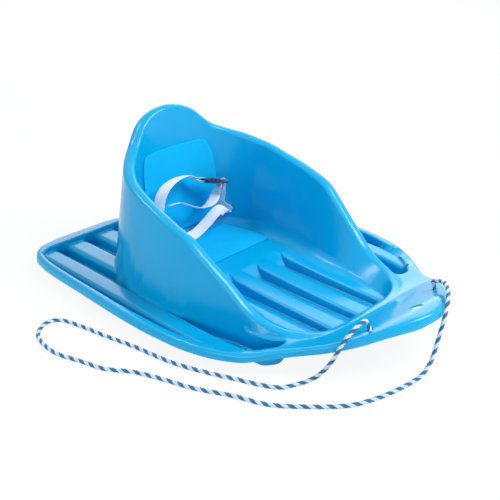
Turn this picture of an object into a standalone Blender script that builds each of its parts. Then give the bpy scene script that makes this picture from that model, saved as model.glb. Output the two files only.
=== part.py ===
"""Toddler pull sled: one formed shell with a bucket seat, two foam pads,
a lap belt with a side-release buckle, and a pull rope.

Sizes are millimetres and become metres when a mesh is made.
The nose points to -Y, +Z is up and the floor is z = 0.
"""
import math

import bmesh
import bpy
import numpy as np
from mathutils import Matrix, Vector
from mathutils.bvhtree import BVHTree
from mathutils.geometry import delaunay_2d_cdt

MM = 0.001
GAP = 0.3                   # clearance between neighbouring pieces

# Formed sheet
WALL = 3.2                  # sheet thickness
RIB_TOP = 25.0              # tops of the deck ribs
RIM_TOP = 33.5              # top of the outer rim along the sides
RIM_SKIRT = 14.0            # height of the rolled outer edge
RIM_RADIUS = 6.5            # rounding of the outer rim
EDGE_RADIUS = 5.0           # rounding where a wall starts
FOOT_RADIUS = 4.0           # fillet where a wall ends on a floor
DRAFT = 5.0                 # wall draft in degrees

# Outer edge, half, from the rear centre to the tip of the nose
OUTLINE = [(0, 364), (32, 365), (66, 372), (120, 373.5), (198, 373), (232, 363),
           (252, 342), (262, 308), (267, 262), (270, 183), (273, 117), (275, 47),
           (274, -10), (269, -65), (260, -112), (247, -147), (228, -178),
           (207, -202), (189, -220), (174, -237), (162, -254), (151, -272),
           (136, -293), (117, -314), (91, -335), (62, -355), (32, -369), (0, -374)]
# Place along the sled, rise of the rim there, and of the apron's middle over it
RIM_RISE = [(-176, 0, 0), (-200, 4.5, -2), (-240, 13.5, -7), (-260, 19, -5), (-290, 29, 2),
            (-320, 40.5, 6), (-345, 51, 7), (-365, 56.5, 4), (-385, 59, 0)]
# Inner edge of the rim, half, from the rear centre to the groove's front corner
POCKET = [(0, 350), (60, 351), (180, 351), (220, 351), (238, 343), (247, 329), (252, 308),
          (255.5, 280), (260, 180), (262, 60), (261, -10), (256, -66), (247, -105),
          (234, -142), (216, -171), (201, -187), (188, -200), (172, -209), (154, -206),
          (148, -198), (153, -184), (160, -165), (166, -140), (160, -100), (130, -60),
          (100, 0), (60, 60), (0, 100)]
# Deck ribs, half: the outer one has a tapered front end, the others run under the seat
RIB_WING = [(207, 390), (208, 200), (209, 0), (209, -100), (206, -137), (202, -161),
            (198, -180), (198, -186), (203, -187), (210, -178), (219, -163),
            (229, -138), (235, -108), (238, -50), (237, 100), (236, 390)]
DECK_RIBS = [(143.0, 176.0, 150.0), (71.0, 107.0, 200.0), (-37.0, 37.0, 220.0)]

# Seat rim: x, y, height of the crest, run from the crest to the seat floor,
# share of the way from the rib tops (0) to the groove floors (1) of that foot
SEAT_RIM = [(0, 249, 288, 61, 0), (30, 248, 284, 60, 0), (62, 242, 270, 57, 0),
            (96, 226, 238, 50, 0), (124, 203, 223, 45, 0), (143, 180, 215, 46, 0),
            (156, 157, 207, 50, 0), (165, 128, 199, 57, 0), (170, 96, 189, 62, 0),
            (173, 64, 180, 66, 0), (174.5, 30, 169, 70, 0), (172.5, -11, 154, 76, 0),
            (168, -40, 132, 77, 0), (161.5, -74, 105, 71, 0), (158, -100, 84, 64, 0),
            (155, -121, 66, 57, 0), (151, -140, 54.5, 52, 0), (146.5, -160, 47.5, 48, 0),
            (140, -181, 43.5, 44, 0), (129, -203, 42, 40, 0.1), (113, -223, 41, 35, 0.5),
            (92, -236, 40.5, 30, 1), (62, -243, 41, 29, 1), (30, -245, 42, 29, 1),
            (0, -245, 42.5, 29, 1)]
BAND_HALF = 11.0            # half width of the rounded seat rim
BAND_DEPTH = 8.0            # how far that rounding falls
SEAT_DRAFT = 4.5            # draft of the seat's outer wall in degrees
SEAT_FILLET = 0.6           # fillet radius inside the seat against the run of its wall

# Seat floor and footwell: place along the sled, height of floor and rib tops, of grooves
FLOOR_LINE = [(-260, 16.0, WALL), (-165, 17.5, WALL), (-90, 18.5, WALL), (-45, 19.3, WALL),
              (-38, 19.4, 4.0), (-6, 21.0, 15.0), (20, 25.0, 25.0), (60, 26.0, 26.0),
              (190, 28.0, 28.0), (260, 28.0, 28.0)]
FOOT_GROOVES = (0.0, 66.0)  # centre lines of the footwell grooves, half
FOOT_GROOVE = 41.0          # and their width

# Holes in the sheet
ROPE_HOLE = (88.0, -313.0)
ROPE_HOLE_DIA = 11.0
NOSE_HOLE = (0.0, -335.0)
NOSE_HOLE_DIA = 18.0
BELT_SLOT = (103.0, 190.0)
BELT_SLOT_LENGTH = 24.0
BELT_SLOT_WIDTH = 6.0

# Foam pads
PAD = 3.0
SEAT_PAD = [(-104, 82), (-40, 85), (40, 85), (104, 82), (108, 92), (98, 130), (92, 172),
            (84, 184), (60, 189), (-60, 189), (-84, 184), (-92, 172), (-98, 130), (-108, 92)]
BACK_PAD = [(-64, 211), (-76, 205), (-83, 180), (-87, 130), (-87, 54), (-80, 44), (-60, 40),
            (60, 40), (80, 44), (87, 54), (87, 130), (83, 180), (76, 205), (64, 211)]

# Webbing and buckle
WEB = 20.0
WEB_THICK = 1.5
BUCKLE_AT = (83.0, 170.0, 130.5)    # strap end of the plug
BUCKLE_AXIS = (-0.877, 0.42, 0.229)
BUCKLE_WIDE = (-0.315, -0.867, 0.386)
BUCKLE = 28.0                       # width
SOCKET_THICK = 9.0
SOCKET_BAR = 3.0                    # thickness of the socket's strap bar
PLUG_THICK = 6.0
PLUG_BASE = 18.0                    # where the plug's base ends and the socket starts
SOCKET_LENGTH = 34.0
CAVITY = (21.5, 22.6, 5.4)          # length, width and height of the socket's inside
WINDOW = (8.0, 19.0)                # side windows, from the socket's mouth
LOCK_BAR = 3.5                      # bars and slots of the ladder lock
LOCK_SLOT = 3.0
TONGUE = (20.0, 5.0, 3.0)
ARM_ROOT = 1.0
ARM_THICK = 3.6
ARM_WIDE = 2.4
ARM_OUT = 8.3                       # distance of the arms from the buckle's middle

# Belt stops behind the slots
STOP = (32.0, 11.0, 3.0)

# Rope
ROPE_DIA = 7.0
KNOT_DIA = 17.0
ROPE_STEP = 20.5
# Route of the rope between the two holes, from the near one round the floor to the far one
ROPE_ROUTE = [(-98, -309, 93), (-110, -308, 91), (-121, -306, 85), (-137, -302, 71),
              (-148, -297, 50), (-157, -289, 30), (-168, -276, 11), (-189, -263, 3.7),
              (-217, -248, 3.7), (-249, -182, 3.7), (-283, -91, 3.7), (-298, -1, 3.7),
              (-311, 60, 3.7), (-320, 109, 3.7), (-332, 149, 3.7), (-349, 160, 3.7),
              (-371, 152, 3.7), (-388, 133, 3.7), (-397, 76, 3.7), (-382, 22, 3.7),
              (-369, -21, 3.7), (-344, -58, 3.7), (-325, -105, 3.7), (-309, -154, 3.7),
              (-279, -216, 3.7), (-261, -262, 3.7), (-232, -300, 3.7), (-180, -350, 3.7),
              (-143, -367, 3.7), (-95, -379, 3.7), (-47, -384, 4.5), (-22, -384, 19),
              (-4, -381, 45), (14, -378, 78), (30, -372, 95), (48, -361, 102),
              (68, -344, 102), (82, -328, 97)]

COLLECTION = "Toddler_sled"


# Plan curves

def smooth(points, step):
    """Points of a centripetal Catmull-Rom curve; an end at x = 0 continues mirrored."""
    pts = np.array(points, float)
    flip = np.ones(pts.shape[1])
    flip[0] = -1.0
    first = pts[1] * flip if abs(pts[0, 0]) < 1e-9 else 2 * pts[0] - pts[1]
    last = pts[-2] * flip if abs(pts[-1, 0]) < 1e-9 else 2 * pts[-1] - pts[-2]
    pts = np.vstack([first, pts, last])
    out = []
    for a, b, c, d in zip(pts[:-3], pts[1:-2], pts[2:-1], pts[3:]):
        t = [0.0]
        for p, q in ((a, b), (b, c), (c, d)):
            t.append(t[-1] + max(np.linalg.norm((q - p)[:3]), 1e-6) ** 0.5)
        count = max(1, int(round(np.linalg.norm((c - b)[:3]) / step)))
        for u in np.linspace(t[1], t[2], count, endpoint=False):
            ab = a + (b - a) * (u - t[0]) / (t[1] - t[0])
            bc = b + (c - b) * (u - t[1]) / (t[2] - t[1])
            cd = c + (d - c) * (u - t[2]) / (t[3] - t[2])
            abc = ab + (bc - ab) * (u - t[0]) / (t[2] - t[0])
            bcd = bc + (cd - bc) * (u - t[1]) / (t[3] - t[1])
            out.append(abc + (bcd - abc) * (u - t[1]) / (t[2] - t[1]))
    out.append(pts[-2])
    return np.array(out)


def thin(line, tolerance):
    """The fewest points of a plan line that keep it within a tolerance."""
    keep = {0, len(line) - 1}
    spans = [(0, len(line) - 1)]
    while spans:
        i, j = spans.pop()
        if j - i < 2:
            continue
        a, b = line[i, :2], line[j, :2]
        chord = b - a
        away = line[i + 1:j, :2] - a
        size = np.linalg.norm(chord)
        if size > 1e-9:
            away = np.abs(away[:, 0] * chord[1] - away[:, 1] * chord[0]) / size
        else:
            away = np.linalg.norm(away, axis=1)
        k = int(np.argmax(away))
        if away[k] > tolerance or size > 60.0:
            k = k + i + 1 if away[k] > tolerance else (i + j) // 2
            keep.add(k)
            spans += [(i, k), (k, j)]
    return line[sorted(keep)]


def nearest(points, line):
    """Distance of plan points to a plan line, the segment they are nearest, the place on it."""
    a = line[:-1, :2]
    d = line[1:, :2] - a
    rel = points[:, None, :] - a[None]
    t = np.clip((rel * d).sum(2) / np.maximum((d * d).sum(1), 1e-12), 0.0, 1.0)
    gap = np.linalg.norm(rel - t[..., None] * d, axis=2)
    k = np.argmin(gap, axis=1)
    rows = np.arange(len(points))
    return gap[rows, k], k, t[rows, k]


def inside(points, ring):
    """Which plan points lie inside a closed ring."""
    x, y = points[:, 0][:, None], points[:, 1][:, None]
    x0, y0 = ring[:, 0], ring[:, 1]
    x1, y1 = np.roll(x0, -1), np.roll(y0, -1)
    spans = (y0 > y) != (y1 > y)
    rise = np.where(np.abs(y1 - y0) < 1e-12, 1e-12, y1 - y0)
    return (spans & (x < x0 + (y - y0) * (x1 - x0) / rise)).sum(1) % 2 == 1


def closed_half(line):
    """A half outline made a ring that reaches past the middle."""
    return np.vstack([[(-60.0, line[0, 1])], line[:, :2], [(-60.0, line[-1, 1])]])


def shifted(line, distance):
    """A plan line moved to its right by a distance, one value or one for each point."""
    t = np.gradient(line[:, :2], axis=0)
    t /= np.linalg.norm(t, axis=1)[:, None]
    out = line[:, :2] + np.column_stack([t[:, 1], -t[:, 0]]) * np.reshape(distance, (-1, 1))
    out[np.abs(line[:, 0]) < 1e-6, 0] = 0.0
    return out


# Wall sections

def step_ends(depth, top, foot, draft):
    """Where the parts of a wall's section start: top arc, wall, foot arc, floor."""
    s, c = math.sin(math.radians(draft)), math.cos(math.radians(draft))
    share = np.minimum(1.0, depth / ((top + foot) * (1 - s)))
    top, foot = top * share, foot * share
    wall = np.maximum(depth - (top + foot) * (1 - s), 0.0)
    e1 = top * c
    e2 = e1 + wall * s / c
    return top, foot, e1, e2, e2 + foot * c, top * (1 - s)


def step_fall(e, depth, top, foot, draft):
    """How far a drafted wall with rounded ends has fallen, e past its edge."""
    slope = math.tan(math.radians(draft))
    top, foot, e1, e2, e3, z1 = step_ends(depth, top, foot, draft)
    e = np.clip(e, 0.0, e3)
    arc = top - np.sqrt(np.maximum(top ** 2 - e ** 2, 0.0))
    line = z1 + (e - e1) / slope
    base = depth - foot + np.sqrt(np.maximum(foot ** 2 - (e3 - e) ** 2, 0.0))
    return np.where(e < e1, arc, np.where(e < e2, line, base))


def step_breaks(depth, top, foot, draft):
    """Distances past a wall's edge where its section needs points."""
    top, foot, e1, e2, e3, _ = step_ends(depth, top, foot, draft)
    half = math.radians(90.0 - draft) / 2
    breaks = [0 * e3, top * math.sin(half), e1, e2]
    if np.max(foot) > 0:
        breaks += [e3 - foot * math.sin(half), e3]
    return breaks


# Heights of the sheet, from plan points of the half with x >= 0

CREST = smooth(SEAT_RIM, 8.0)
RIM = smooth(OUTLINE, 8.0)
RIM_RING = closed_half(RIM)
INNER_EDGE = smooth(POCKET, 6.0)
INNER_RING = closed_half(INNER_EDGE)
CREST_RING = closed_half(CREST)
WING = smooth(RIB_WING, 6.0)
RIBS = [WING] + [np.array([(a, 390), (a, y), (b, y), (b, 390)], float) for a, b, y in DECK_RIBS]


def plateau(p):
    """Level of the rim and of the nose apron."""
    y, rise, crown = np.array(RIM_RISE)[::-1].T
    spread = smooth_lookup(p[:, 1], y, rise), smooth_lookup(p[:, 1], y, crown)
    order = np.argsort(RIM[:, 1])
    half = np.interp(p[:, 1], RIM[order, 1], RIM[order, 0])
    across = np.clip(np.abs(p[:, 0]) / np.maximum(half, 30.0), 0.0, 1.0)
    return RIM_TOP + spread[0] + spread[1] * (1 - across ** 4)


def smooth_lookup(at, x, y):
    """Value of a smooth curve through (x, y) with flat ends."""
    slope = np.gradient(y, x)
    slope[0] = slope[-1] = 0.0
    at = np.clip(at, x[0], x[-1])
    k = np.clip(np.searchsorted(x, at) - 1, 0, len(x) - 2)
    h = x[k + 1] - x[k]
    t = (at - x[k]) / h
    return (y[k] * (1 + 2 * t) * (1 - t) ** 2 + slope[k] * h * t * (1 - t) ** 2
            + y[k + 1] * t * t * (3 - 2 * t) + slope[k + 1] * h * t * t * (t - 1))


def pocket_level(p):
    """The rim with the groove pocket let into it."""
    gap, _, _ = nearest(p, INNER_EDGE)
    e = np.where(inside(p, INNER_RING), gap, 0.0)
    level = plateau(p)
    return level - step_fall(e, level - WALL, EDGE_RADIUS, FOOT_RADIUS, DRAFT)


def rib_level(p, ring):
    """One deck rib standing on the groove floor."""
    gap, _, _ = nearest(p, np.vstack([ring, ring[:1]]))
    e = np.where(inside(p, ring), 0.0, gap)
    return RIB_TOP - step_fall(e, RIB_TOP - WALL, EDGE_RADIUS, FOOT_RADIUS, DRAFT)


def deck(p):
    """Everything outside the seat."""
    return np.max([pocket_level(p)] + [rib_level(p, ring) for ring in RIBS], axis=0)


def floor_level(p):
    """Seat floor and tops of the footwell ribs."""
    y, top, _ = np.array(FLOOR_LINE).T
    return np.interp(p[:, 1], y, top)


def footwell(p):
    """Seat floor with the footwell grooves cut into it."""
    y, top, low = np.array(FLOOR_LINE).T
    level = np.interp(p[:, 1], y, top)
    depth = np.maximum(level - np.interp(p[:, 1], y, low), 1e-6)
    e = FOOT_GROOVE / 2 - np.min([np.abs(np.abs(p[:, 0]) - c) for c in FOOT_GROOVES], axis=0)
    return level - step_fall(e, depth, EDGE_RADIUS, FOOT_RADIUS, DRAFT)


def on_crest(p):
    """Distance inward from the seat rim's crest, with the values of the rim there."""
    gap, k, t = nearest(p, CREST)
    side = np.where(inside(p, CREST_RING), 1.0, -1.0)
    value = CREST[k] + (CREST[k + 1] - CREST[k]) * t[:, None]
    return gap * side, value


def seat_section(height, run, foot_level):
    """Inner section of the seat rim: end of the band, of the wall, and the fillet."""
    angle = np.full_like(height, math.radians(80.0))
    for _ in range(5):
        x0 = BAND_HALF * np.sin(angle)
        z0 = height - BAND_DEPTH * (1 - np.cos(angle))
        radius = SEAT_FILLET * (run - BAND_HALF)
        dx, dz = run - x0, foot_level + radius - z0
        reach = np.hypot(dx, dz)
        phi = np.arctan2(dz, dx) - np.arcsin(np.clip(radius / reach, 0.0, 0.999))
        angle = np.arctan(-np.tan(phi) * BAND_HALF / BAND_DEPTH)
    x1 = x0 + np.sqrt(np.maximum(reach ** 2 - radius ** 2, 0.0)) * np.cos(phi)
    return x0, z0, x1, radius, np.tan(phi)


def outer_section(height):
    """Outer section of the seat rim: end of the band, of the wall, of the fillet."""
    slope = math.tan(math.radians(SEAT_DRAFT))
    s, c = math.sin(math.radians(SEAT_DRAFT)), math.cos(math.radians(SEAT_DRAFT))
    angle = math.atan(BAND_HALF / BAND_DEPTH / slope)
    x0 = BAND_HALF * math.sin(angle)
    z0 = height - BAND_DEPTH * (1 - math.cos(angle))
    x1 = x0 + (z0 - WALL - FOOT_RADIUS * (1 - s)) * slope
    return x0, z0, x1, x1 + FOOT_RADIUS * c


def ridge(p):
    """The seat's rounded rim with its outer and inner walls."""
    d, value = on_crest(p)
    height, run, low = value[:, 2], value[:, 3], value[:, 4]
    foot = (1 - low) * floor_level(p) + low * WALL
    x0, z0, x1, radius, slope = seat_section(height, run, foot)
    band = height - BAND_DEPTH * (1 - np.sqrt(np.clip(1 - (d / BAND_HALF) ** 2, 0.0, 1.0)))
    fillet = foot + radius - np.sqrt(np.maximum(radius ** 2 - np.maximum(run - d, 0) ** 2, 0))
    within = np.where(d < x0, band, np.where(d < x1, z0 + slope * (d - x0), fillet))
    within = np.where(d > run, foot - 2.0 * (d - run), within)
    out = -d
    x0, z0, x1, x2 = outer_section(height)
    wall = z0 - (out - x0) / math.tan(math.radians(SEAT_DRAFT))
    base = WALL + FOOT_RADIUS - np.sqrt(np.maximum(FOOT_RADIUS ** 2
                                                   - np.maximum(x2 - out, 0) ** 2, 0.0))
    beyond = np.where(out < x0, band, np.where(out < x1, wall, base))
    return np.where(d > 0, within, beyond)


def body(p):
    """The sheet before its outer edge is rolled down."""
    base = np.where(inside(p, CREST_RING), footwell(p), deck(p))
    return np.maximum(base, ridge(p))


def rim_run():
    """Plan width of the rolled edge."""
    return float(step_ends(np.array(RIM_SKIRT), RIM_RADIUS, 0.0, DRAFT)[3])


def sheet(p):
    """Top surface of the formed sheet."""
    p = np.column_stack([np.abs(p[:, 0]), p[:, 1]])
    gap, _, _ = nearest(p, RIM)
    e = rim_run() - np.where(inside(p, RIM_RING), gap, 0.0)
    return body(p) - step_fall(e, np.array(RIM_SKIRT), RIM_RADIUS, 0.0, DRAFT)


def sheet_point(x, y):
    """Point and unit normal of the sheet at a plan place."""
    s = 0.5
    z = sheet(np.array([(x, y), (x + s, y), (x - s, y), (x, y + s), (x, y - s)], float))
    normal = Vector((-(z[1] - z[2]) / (2 * s), -(z[3] - z[4]) / (2 * s), 1.0)).normalized()
    return Vector((x, y, z[0])), normal


# Plan mesh of the sheet

def owned(line, own, total, slack=0.03):
    """Runs of a plan line where its own surface is the top one, with their end points."""
    fine = [line[0]]
    for a, b in zip(line[:-1], line[1:]):
        count = max(1, int(np.linalg.norm(b - a) / 12.0))
        fine += [a + (b - a) * k / count for k in range(1, count + 1)]
    fine = np.array(fine)
    best = total(fine) - own(fine) < slack
    original = {tuple(q) for q in line}
    runs, run = [], []
    for k, q in enumerate(fine):
        if k and best[k] != best[k - 1]:
            lo, hi = (fine[k - 1], q) if best[k - 1] else (q, fine[k - 1])
            for _ in range(14):
                mid = (lo + hi) / 2
                good = (total(mid[None]) - own(mid[None]) < slack)[0]
                lo, hi = (mid, hi) if good else (lo, mid)
            run.append(lo)
            if not best[k]:
                runs.append(run)
                run = []
        if best[k] and tuple(q) in original:
            run.append(q)
    if run:
        runs.append(run)
    return [np.array(r) for r in runs if len(r)]


def wall_lines():
    """Plan lines along every wall, each with the surface that it belongs to."""
    lines = []
    edge = thin(INNER_EDGE, 0.25)
    depth = plateau(edge) - WALL
    for e in step_breaks(depth, EDGE_RADIUS, FOOT_RADIUS, DRAFT):
        lines.append((shifted(edge, e), lambda q: pocket_level(q)))
    depth = np.array(RIB_TOP - WALL)
    for e in step_breaks(depth, EDGE_RADIUS, FOOT_RADIUS, DRAFT):
        lines.append((shifted(thin(WING, 0.25), e), lambda q: rib_level(q, RIBS[0])))
        for (a, b, y), ring in zip(DECK_RIBS, RIBS[1:]):
            lines.append((np.array([(a - e, 390), (a - e, y)]), lambda q, r=ring: rib_level(q, r)))
            lines.append((np.array([(b + e, y), (b + e, 390)]), lambda q, r=ring: rib_level(q, r)))
    return lines


def foot_lines():
    """Plan lines along the footwell grooves."""
    lines = []
    y, top, low = np.array(FLOOR_LINE).T
    cut = y < 21
    depth = np.maximum(top - low, 0.02)[cut]
    for centre in FOOT_GROOVES:
        for side in (-1, 1):
            for e in step_breaks(depth, EDGE_RADIUS, FOOT_RADIUS, DRAFT):
                x = centre + side * (FOOT_GROOVE / 2 - e)
                lines.append((np.column_stack([x, y[cut]]), footwell))
    for level in y[1:-1]:
        across = np.linspace(0.0, 180.0, 7)
        lines.append((np.column_stack([across, np.full(7, level)]), footwell))
    return lines


def ridge_lines():
    """Plan lines along the seat rim, from its outer foot to its inner one."""
    crest = thin(CREST, 0.3)
    low = crest[:, 4]
    within = shifted(crest, crest[:, 3])
    foot = (1 - low) * floor_level(within) + low * WALL
    x0, _, x1, radius, _ = seat_section(crest[:, 2], crest[:, 3], foot)
    run = crest[:, 3]
    turn = np.arccos(np.clip((run - x1) / radius, -1, 1))
    inner = [0 * run, 0.5 * x0, 0.87 * x0, x0, x1]
    inner += [run - radius * np.cos(turn + (math.pi / 2 - turn) * k / 3) for k in (1, 2, 3)]
    o0, _, o1, o2 = outer_section(crest[:, 2])
    outer = [0.5 * o0 + 0 * run, 0.87 * o0 + 0 * run, o0 + 0 * run, o1,
             o2 - 0.7 * (o2 - o1), o2]
    return [shifted(crest, d) for d in inner], [shifted(crest, -d) for d in outer]


def plan_points():
    """All plan points with the edges that follow the sheet's features."""
    runs = []
    rim = thin(RIM, 0.25)
    for e in step_breaks(np.array(RIM_SKIRT), RIM_RADIUS, 0.0, DRAFT):
        runs.append(shifted(rim, rim_run() - e))
    runs.reverse()
    inner, outer = ridge_lines()
    for line in inner + outer:
        runs += owned(line, ridge, body)
    for line, own in wall_lines():
        runs += [r for r in owned(line, own, body) if not inside(r, CREST_RING).all()]
    for line, own in foot_lines():
        for r in owned(line, own, body):
            runs += [r] if inside(r + 1e-6, CREST_RING).any() else []
    return runs


def apron_grid(step):
    """Loose plan points on the nose apron and the other wide stretches."""
    xs = np.arange(0.0, 200.0, step)
    ys = np.arange(-370.0, -170.0, step)
    grid = np.array([(x + (0.5 * step if j % 2 and x else 0.0), y)
                     for j, y in enumerate(ys) for x in xs])
    gap, _, _ = nearest(grid, RIM)
    keep = inside(grid, RIM_RING) & (gap > 14) & ~inside(grid, CREST_RING)
    return grid[keep]


def triangulated(runs, extra, near=0.3):
    """Plan triangulation of the half sheet that keeps the runs as edges."""
    places, edges = [], []

    def index_of(q):
        for k in range(len(places) - 1, -1, -1):
            if abs(places[k][0] - q[0]) < near and abs(places[k][1] - q[1]) < near:
                return k
        places.append((max(float(q[0]), 0.0), float(q[1])))
        return len(places) - 1

    for run in runs:
        run = run[(run[:, 0] > -1e-6)]
        ids = [index_of(q) for q in run if inside(q[None] - (1e-7, 0), RIM_RING)[0]
               or nearest(q[None], RIM)[0][0] < 0.5]
        edges += [(a, b) for a, b in zip(ids[:-1], ids[1:]) if a != b]
    for q in extra:
        gap = min(math.hypot(p[0] - q[0], p[1] - q[1]) for p in places)
        if gap > 8.0:
            places.append((float(q[0]), float(q[1])))
    out = delaunay_2d_cdt([Vector(p) for p in places], edges, [], 0, 1e-4)
    pts = np.array([tuple(v) for v in out[0]])
    tris = np.array([f for f in out[2]])
    middle = pts[tris].mean(axis=1)
    keep = inside(middle, closed_half(shifted(thin(RIM, 0.25), 0.0)))
    return pts, tris[keep]


# Objects

def purge():
    """Start from an empty scene."""
    for old in list(bpy.data.objects):
        bpy.data.objects.remove(old, do_unlink=True)


def group(name):
    """A collection of the scene."""
    made = bpy.data.collections.new(name)
    bpy.context.scene.collection.children.link(made)
    return made


def material(name, colour, roughness, metallic=0.0):
    """A plain surface with a colour and roughness."""
    made = bpy.data.materials.new(name)
    made.use_nodes = True
    shader = made.node_tree.nodes["Principled BSDF"]
    shader.inputs["Base Color"].default_value = (*colour, 1.0)
    shader.inputs["Roughness"].default_value = roughness
    shader.inputs["Metallic"].default_value = metallic
    return made


class Sled:
    """The collections, materials and axes that every piece shares."""

    def __init__(self):
        self.pieces = group(COLLECTION)
        self.cutters = group("Cutters")
        self.hdpe = material("blue formed polyethylene", (0.0, 0.33, 0.72), 0.32)
        self.foam = material("blue closed-cell foam", (0.0, 0.5, 0.92), 0.75)
        self.webbing = material("white woven webbing", (0.88, 0.86, 0.92), 0.85)
        self.acetal = material("dark moulded acetal", (0.012, 0.014, 0.03), 0.4)
        self.rope = material("blue and white twisted rope", (0.1, 0.35, 0.6), 0.8)
        u = Vector(BUCKLE_AXIS).normalized()
        n = u.cross(Vector(BUCKLE_WIDE)).normalized()
        frame = Matrix((u, n.cross(u), n)).transposed().to_4x4()
        self.buckle = Matrix.Translation(Vector(BUCKLE_AT)) @ frame

    def add(self, name, mesh, look, matrix=None):
        """A piece from a mesh in millimetres, at a place in millimetres."""
        mesh.transform(Matrix.Scale(MM, 4))
        made = bpy.data.objects.new(name, mesh)
        mesh.materials.append(look)
        self.pieces.objects.link(made)
        if matrix is not None:
            place = matrix.copy()
            place.translation *= MM
            made.matrix_world = place
        return made

    def cutter(self, name, mesh, matrix=None):
        """A shape that only cuts."""
        made = self.add(name, mesh, self.acetal, matrix)
        self.pieces.objects.unlink(made)
        self.cutters.objects.link(made)
        made.hide_render = True
        made.display_type = "WIRE"
        return made


def cut(piece, tool, operation="DIFFERENCE"):
    """A Boolean of one piece with another shape."""
    change = piece.modifiers.new(tool.name, "BOOLEAN")
    change.operation = operation
    change.solver = "EXACT"
    change.object = tool


def rounded(piece, width, segments=2, angle=40.0):
    """Rounded edges."""
    change = piece.modifiers.new("Rounded edges", "BEVEL")
    change.width = width * MM
    change.segments = segments
    change.limit_method = "ANGLE"
    change.angle_limit = math.radians(angle)


def box_mesh(size, centre=(0, 0, 0)):
    """A box."""
    made = bmesh.new()
    bmesh.ops.create_cube(made, size=1.0)
    for v in made.verts:
        v.co = Vector([v.co[k] * size[k] + centre[k] for k in range(3)])
    mesh = bpy.data.meshes.new("box")
    made.to_mesh(mesh)
    made.free()
    return mesh


def rod_mesh(diameter, length, sides=24):
    """A round rod along Z."""
    made = bmesh.new()
    bmesh.ops.create_cone(made, cap_ends=True, segments=sides, radius1=diameter / 2,
                          radius2=diameter / 2, depth=length)
    mesh = bpy.data.meshes.new("rod")
    made.to_mesh(mesh)
    made.free()
    return mesh


def outline_mesh(points, thickness):
    """A flat outline in X and Y with a thickness along Z, centred."""
    curve = bpy.data.curves.new("outline", "CURVE")
    curve.dimensions = "2D"
    curve.fill_mode = "BOTH"
    curve.extrude = thickness / 2
    spline = curve.splines.new("POLY")
    spline.points.add(len(points) - 1)
    for point, (x, y) in zip(spline.points, points):
        point.co = (x, y, 0, 1)
    spline.use_cyclic_u = True
    return curve_mesh(curve)


def curve_mesh(curve):
    """The closed mesh of a curve."""
    holder = bpy.data.objects.new("curve", curve)
    bpy.context.scene.collection.objects.link(holder)
    bpy.context.view_layer.update()
    seen = holder.evaluated_get(bpy.context.evaluated_depsgraph_get())
    mesh = bpy.data.meshes.new_from_object(seen)
    bpy.data.objects.remove(holder)
    made = bmesh.new()
    made.from_mesh(mesh)
    bmesh.ops.remove_doubles(made, verts=made.verts, dist=1e-4)
    bmesh.ops.recalc_face_normals(made, faces=made.faces)
    made.to_mesh(mesh)
    made.free()
    return mesh


def smooth_shaded(piece, angle=35.0):
    """Smooth shading that keeps the sharp edges."""
    piece.data.shade_smooth()
    piece.data.set_sharp_from_angle(angle=math.radians(angle))


def baked(piece):
    """The piece with its modifiers made part of its mesh."""
    bpy.context.view_layer.update()
    seen = piece.evaluated_get(bpy.context.evaluated_depsgraph_get())
    mesh = bpy.data.meshes.new_from_object(seen)
    piece.modifiers.clear()
    piece.data = mesh
    return piece


def frame_at(point, normal, along=None):
    """Axes with Z along a normal and X level, at a point."""
    side = Vector((0, 0, 1)).cross(normal) if along is None else along
    side = (side - normal * side.dot(normal)).normalized()
    axes = Matrix((side, normal.cross(side), normal)).transposed().to_4x4()
    return Matrix.Translation(point) @ axes


# Formed shell

def shell(sled):
    """The formed sheet: half a surface, mirrored and given its thickness."""
    pts, tris = triangulated(plan_points(), apron_grid(24.0))
    z = sheet(pts)
    verts = [(float(x), float(y), float(h)) for (x, y), h in zip(pts, z)]
    mesh = bpy.data.meshes.new("shell")
    mesh.from_pydata(verts, [], [tuple(int(k) for k in t) for t in tris])
    made = bmesh.new()
    made.from_mesh(mesh)
    for face in made.faces:
        if face.normal.z < 0:
            face.normal_flip()
    made.to_mesh(mesh)
    made.free()
    piece = sled.add("shell", mesh, sled.hdpe)
    mirror = piece.modifiers.new("Other half", "MIRROR")
    mirror.merge_threshold = 1e-5
    sheet_wall = piece.modifiers.new("Sheet thickness", "SOLIDIFY")
    sheet_wall.thickness = WALL * MM
    sheet_wall.offset = -1.0
    sheet_wall.use_even_offset = True
    sheet_wall.use_quality_normals = True
    baked(piece)
    tidy_underside(piece.data)
    return piece


def tidy_underside(mesh):
    """Keep sharp inner corners near their wall and the underside on the floor."""
    count = len(mesh.vertices) // 2
    reach = 1.5 * WALL * MM
    for top, low in zip(mesh.vertices[:count], mesh.vertices[count:]):
        away = low.co - top.co
        if away.length > reach:
            low.co = top.co + away * (reach / away.length)
        low.co.z = max(low.co.z, 0.0)


def shell_holes(sled, piece, slots):
    """Holes for the rope, in the nose, and for the belt."""
    for side in (-1, 1):
        point, normal = sheet_point(side * ROPE_HOLE[0], ROPE_HOLE[1])
        tool = sled.cutter("rope_hole", rod_mesh(ROPE_HOLE_DIA, 30), frame_at(point, normal))
        cut(piece, tool)
    point, normal = sheet_point(*NOSE_HOLE)
    cut(piece, sled.cutter("nose_hole", rod_mesh(NOSE_HOLE_DIA, 40, 32),
                           frame_at(point, normal)))
    for place in slots:
        size = (BELT_SLOT_LENGTH, BELT_SLOT_WIDTH, 24)
        cut(piece, sled.cutter("belt_slot", box_mesh(size), place))


def surface_tree(piece):
    """The shell's surface for laying other pieces on it, in millimetres."""
    mesh = piece.data
    verts = [v.co / MM for v in mesh.vertices]
    return BVHTree.FromPolygons(verts, [tuple(f.vertices) for f in mesh.polygons])


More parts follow.
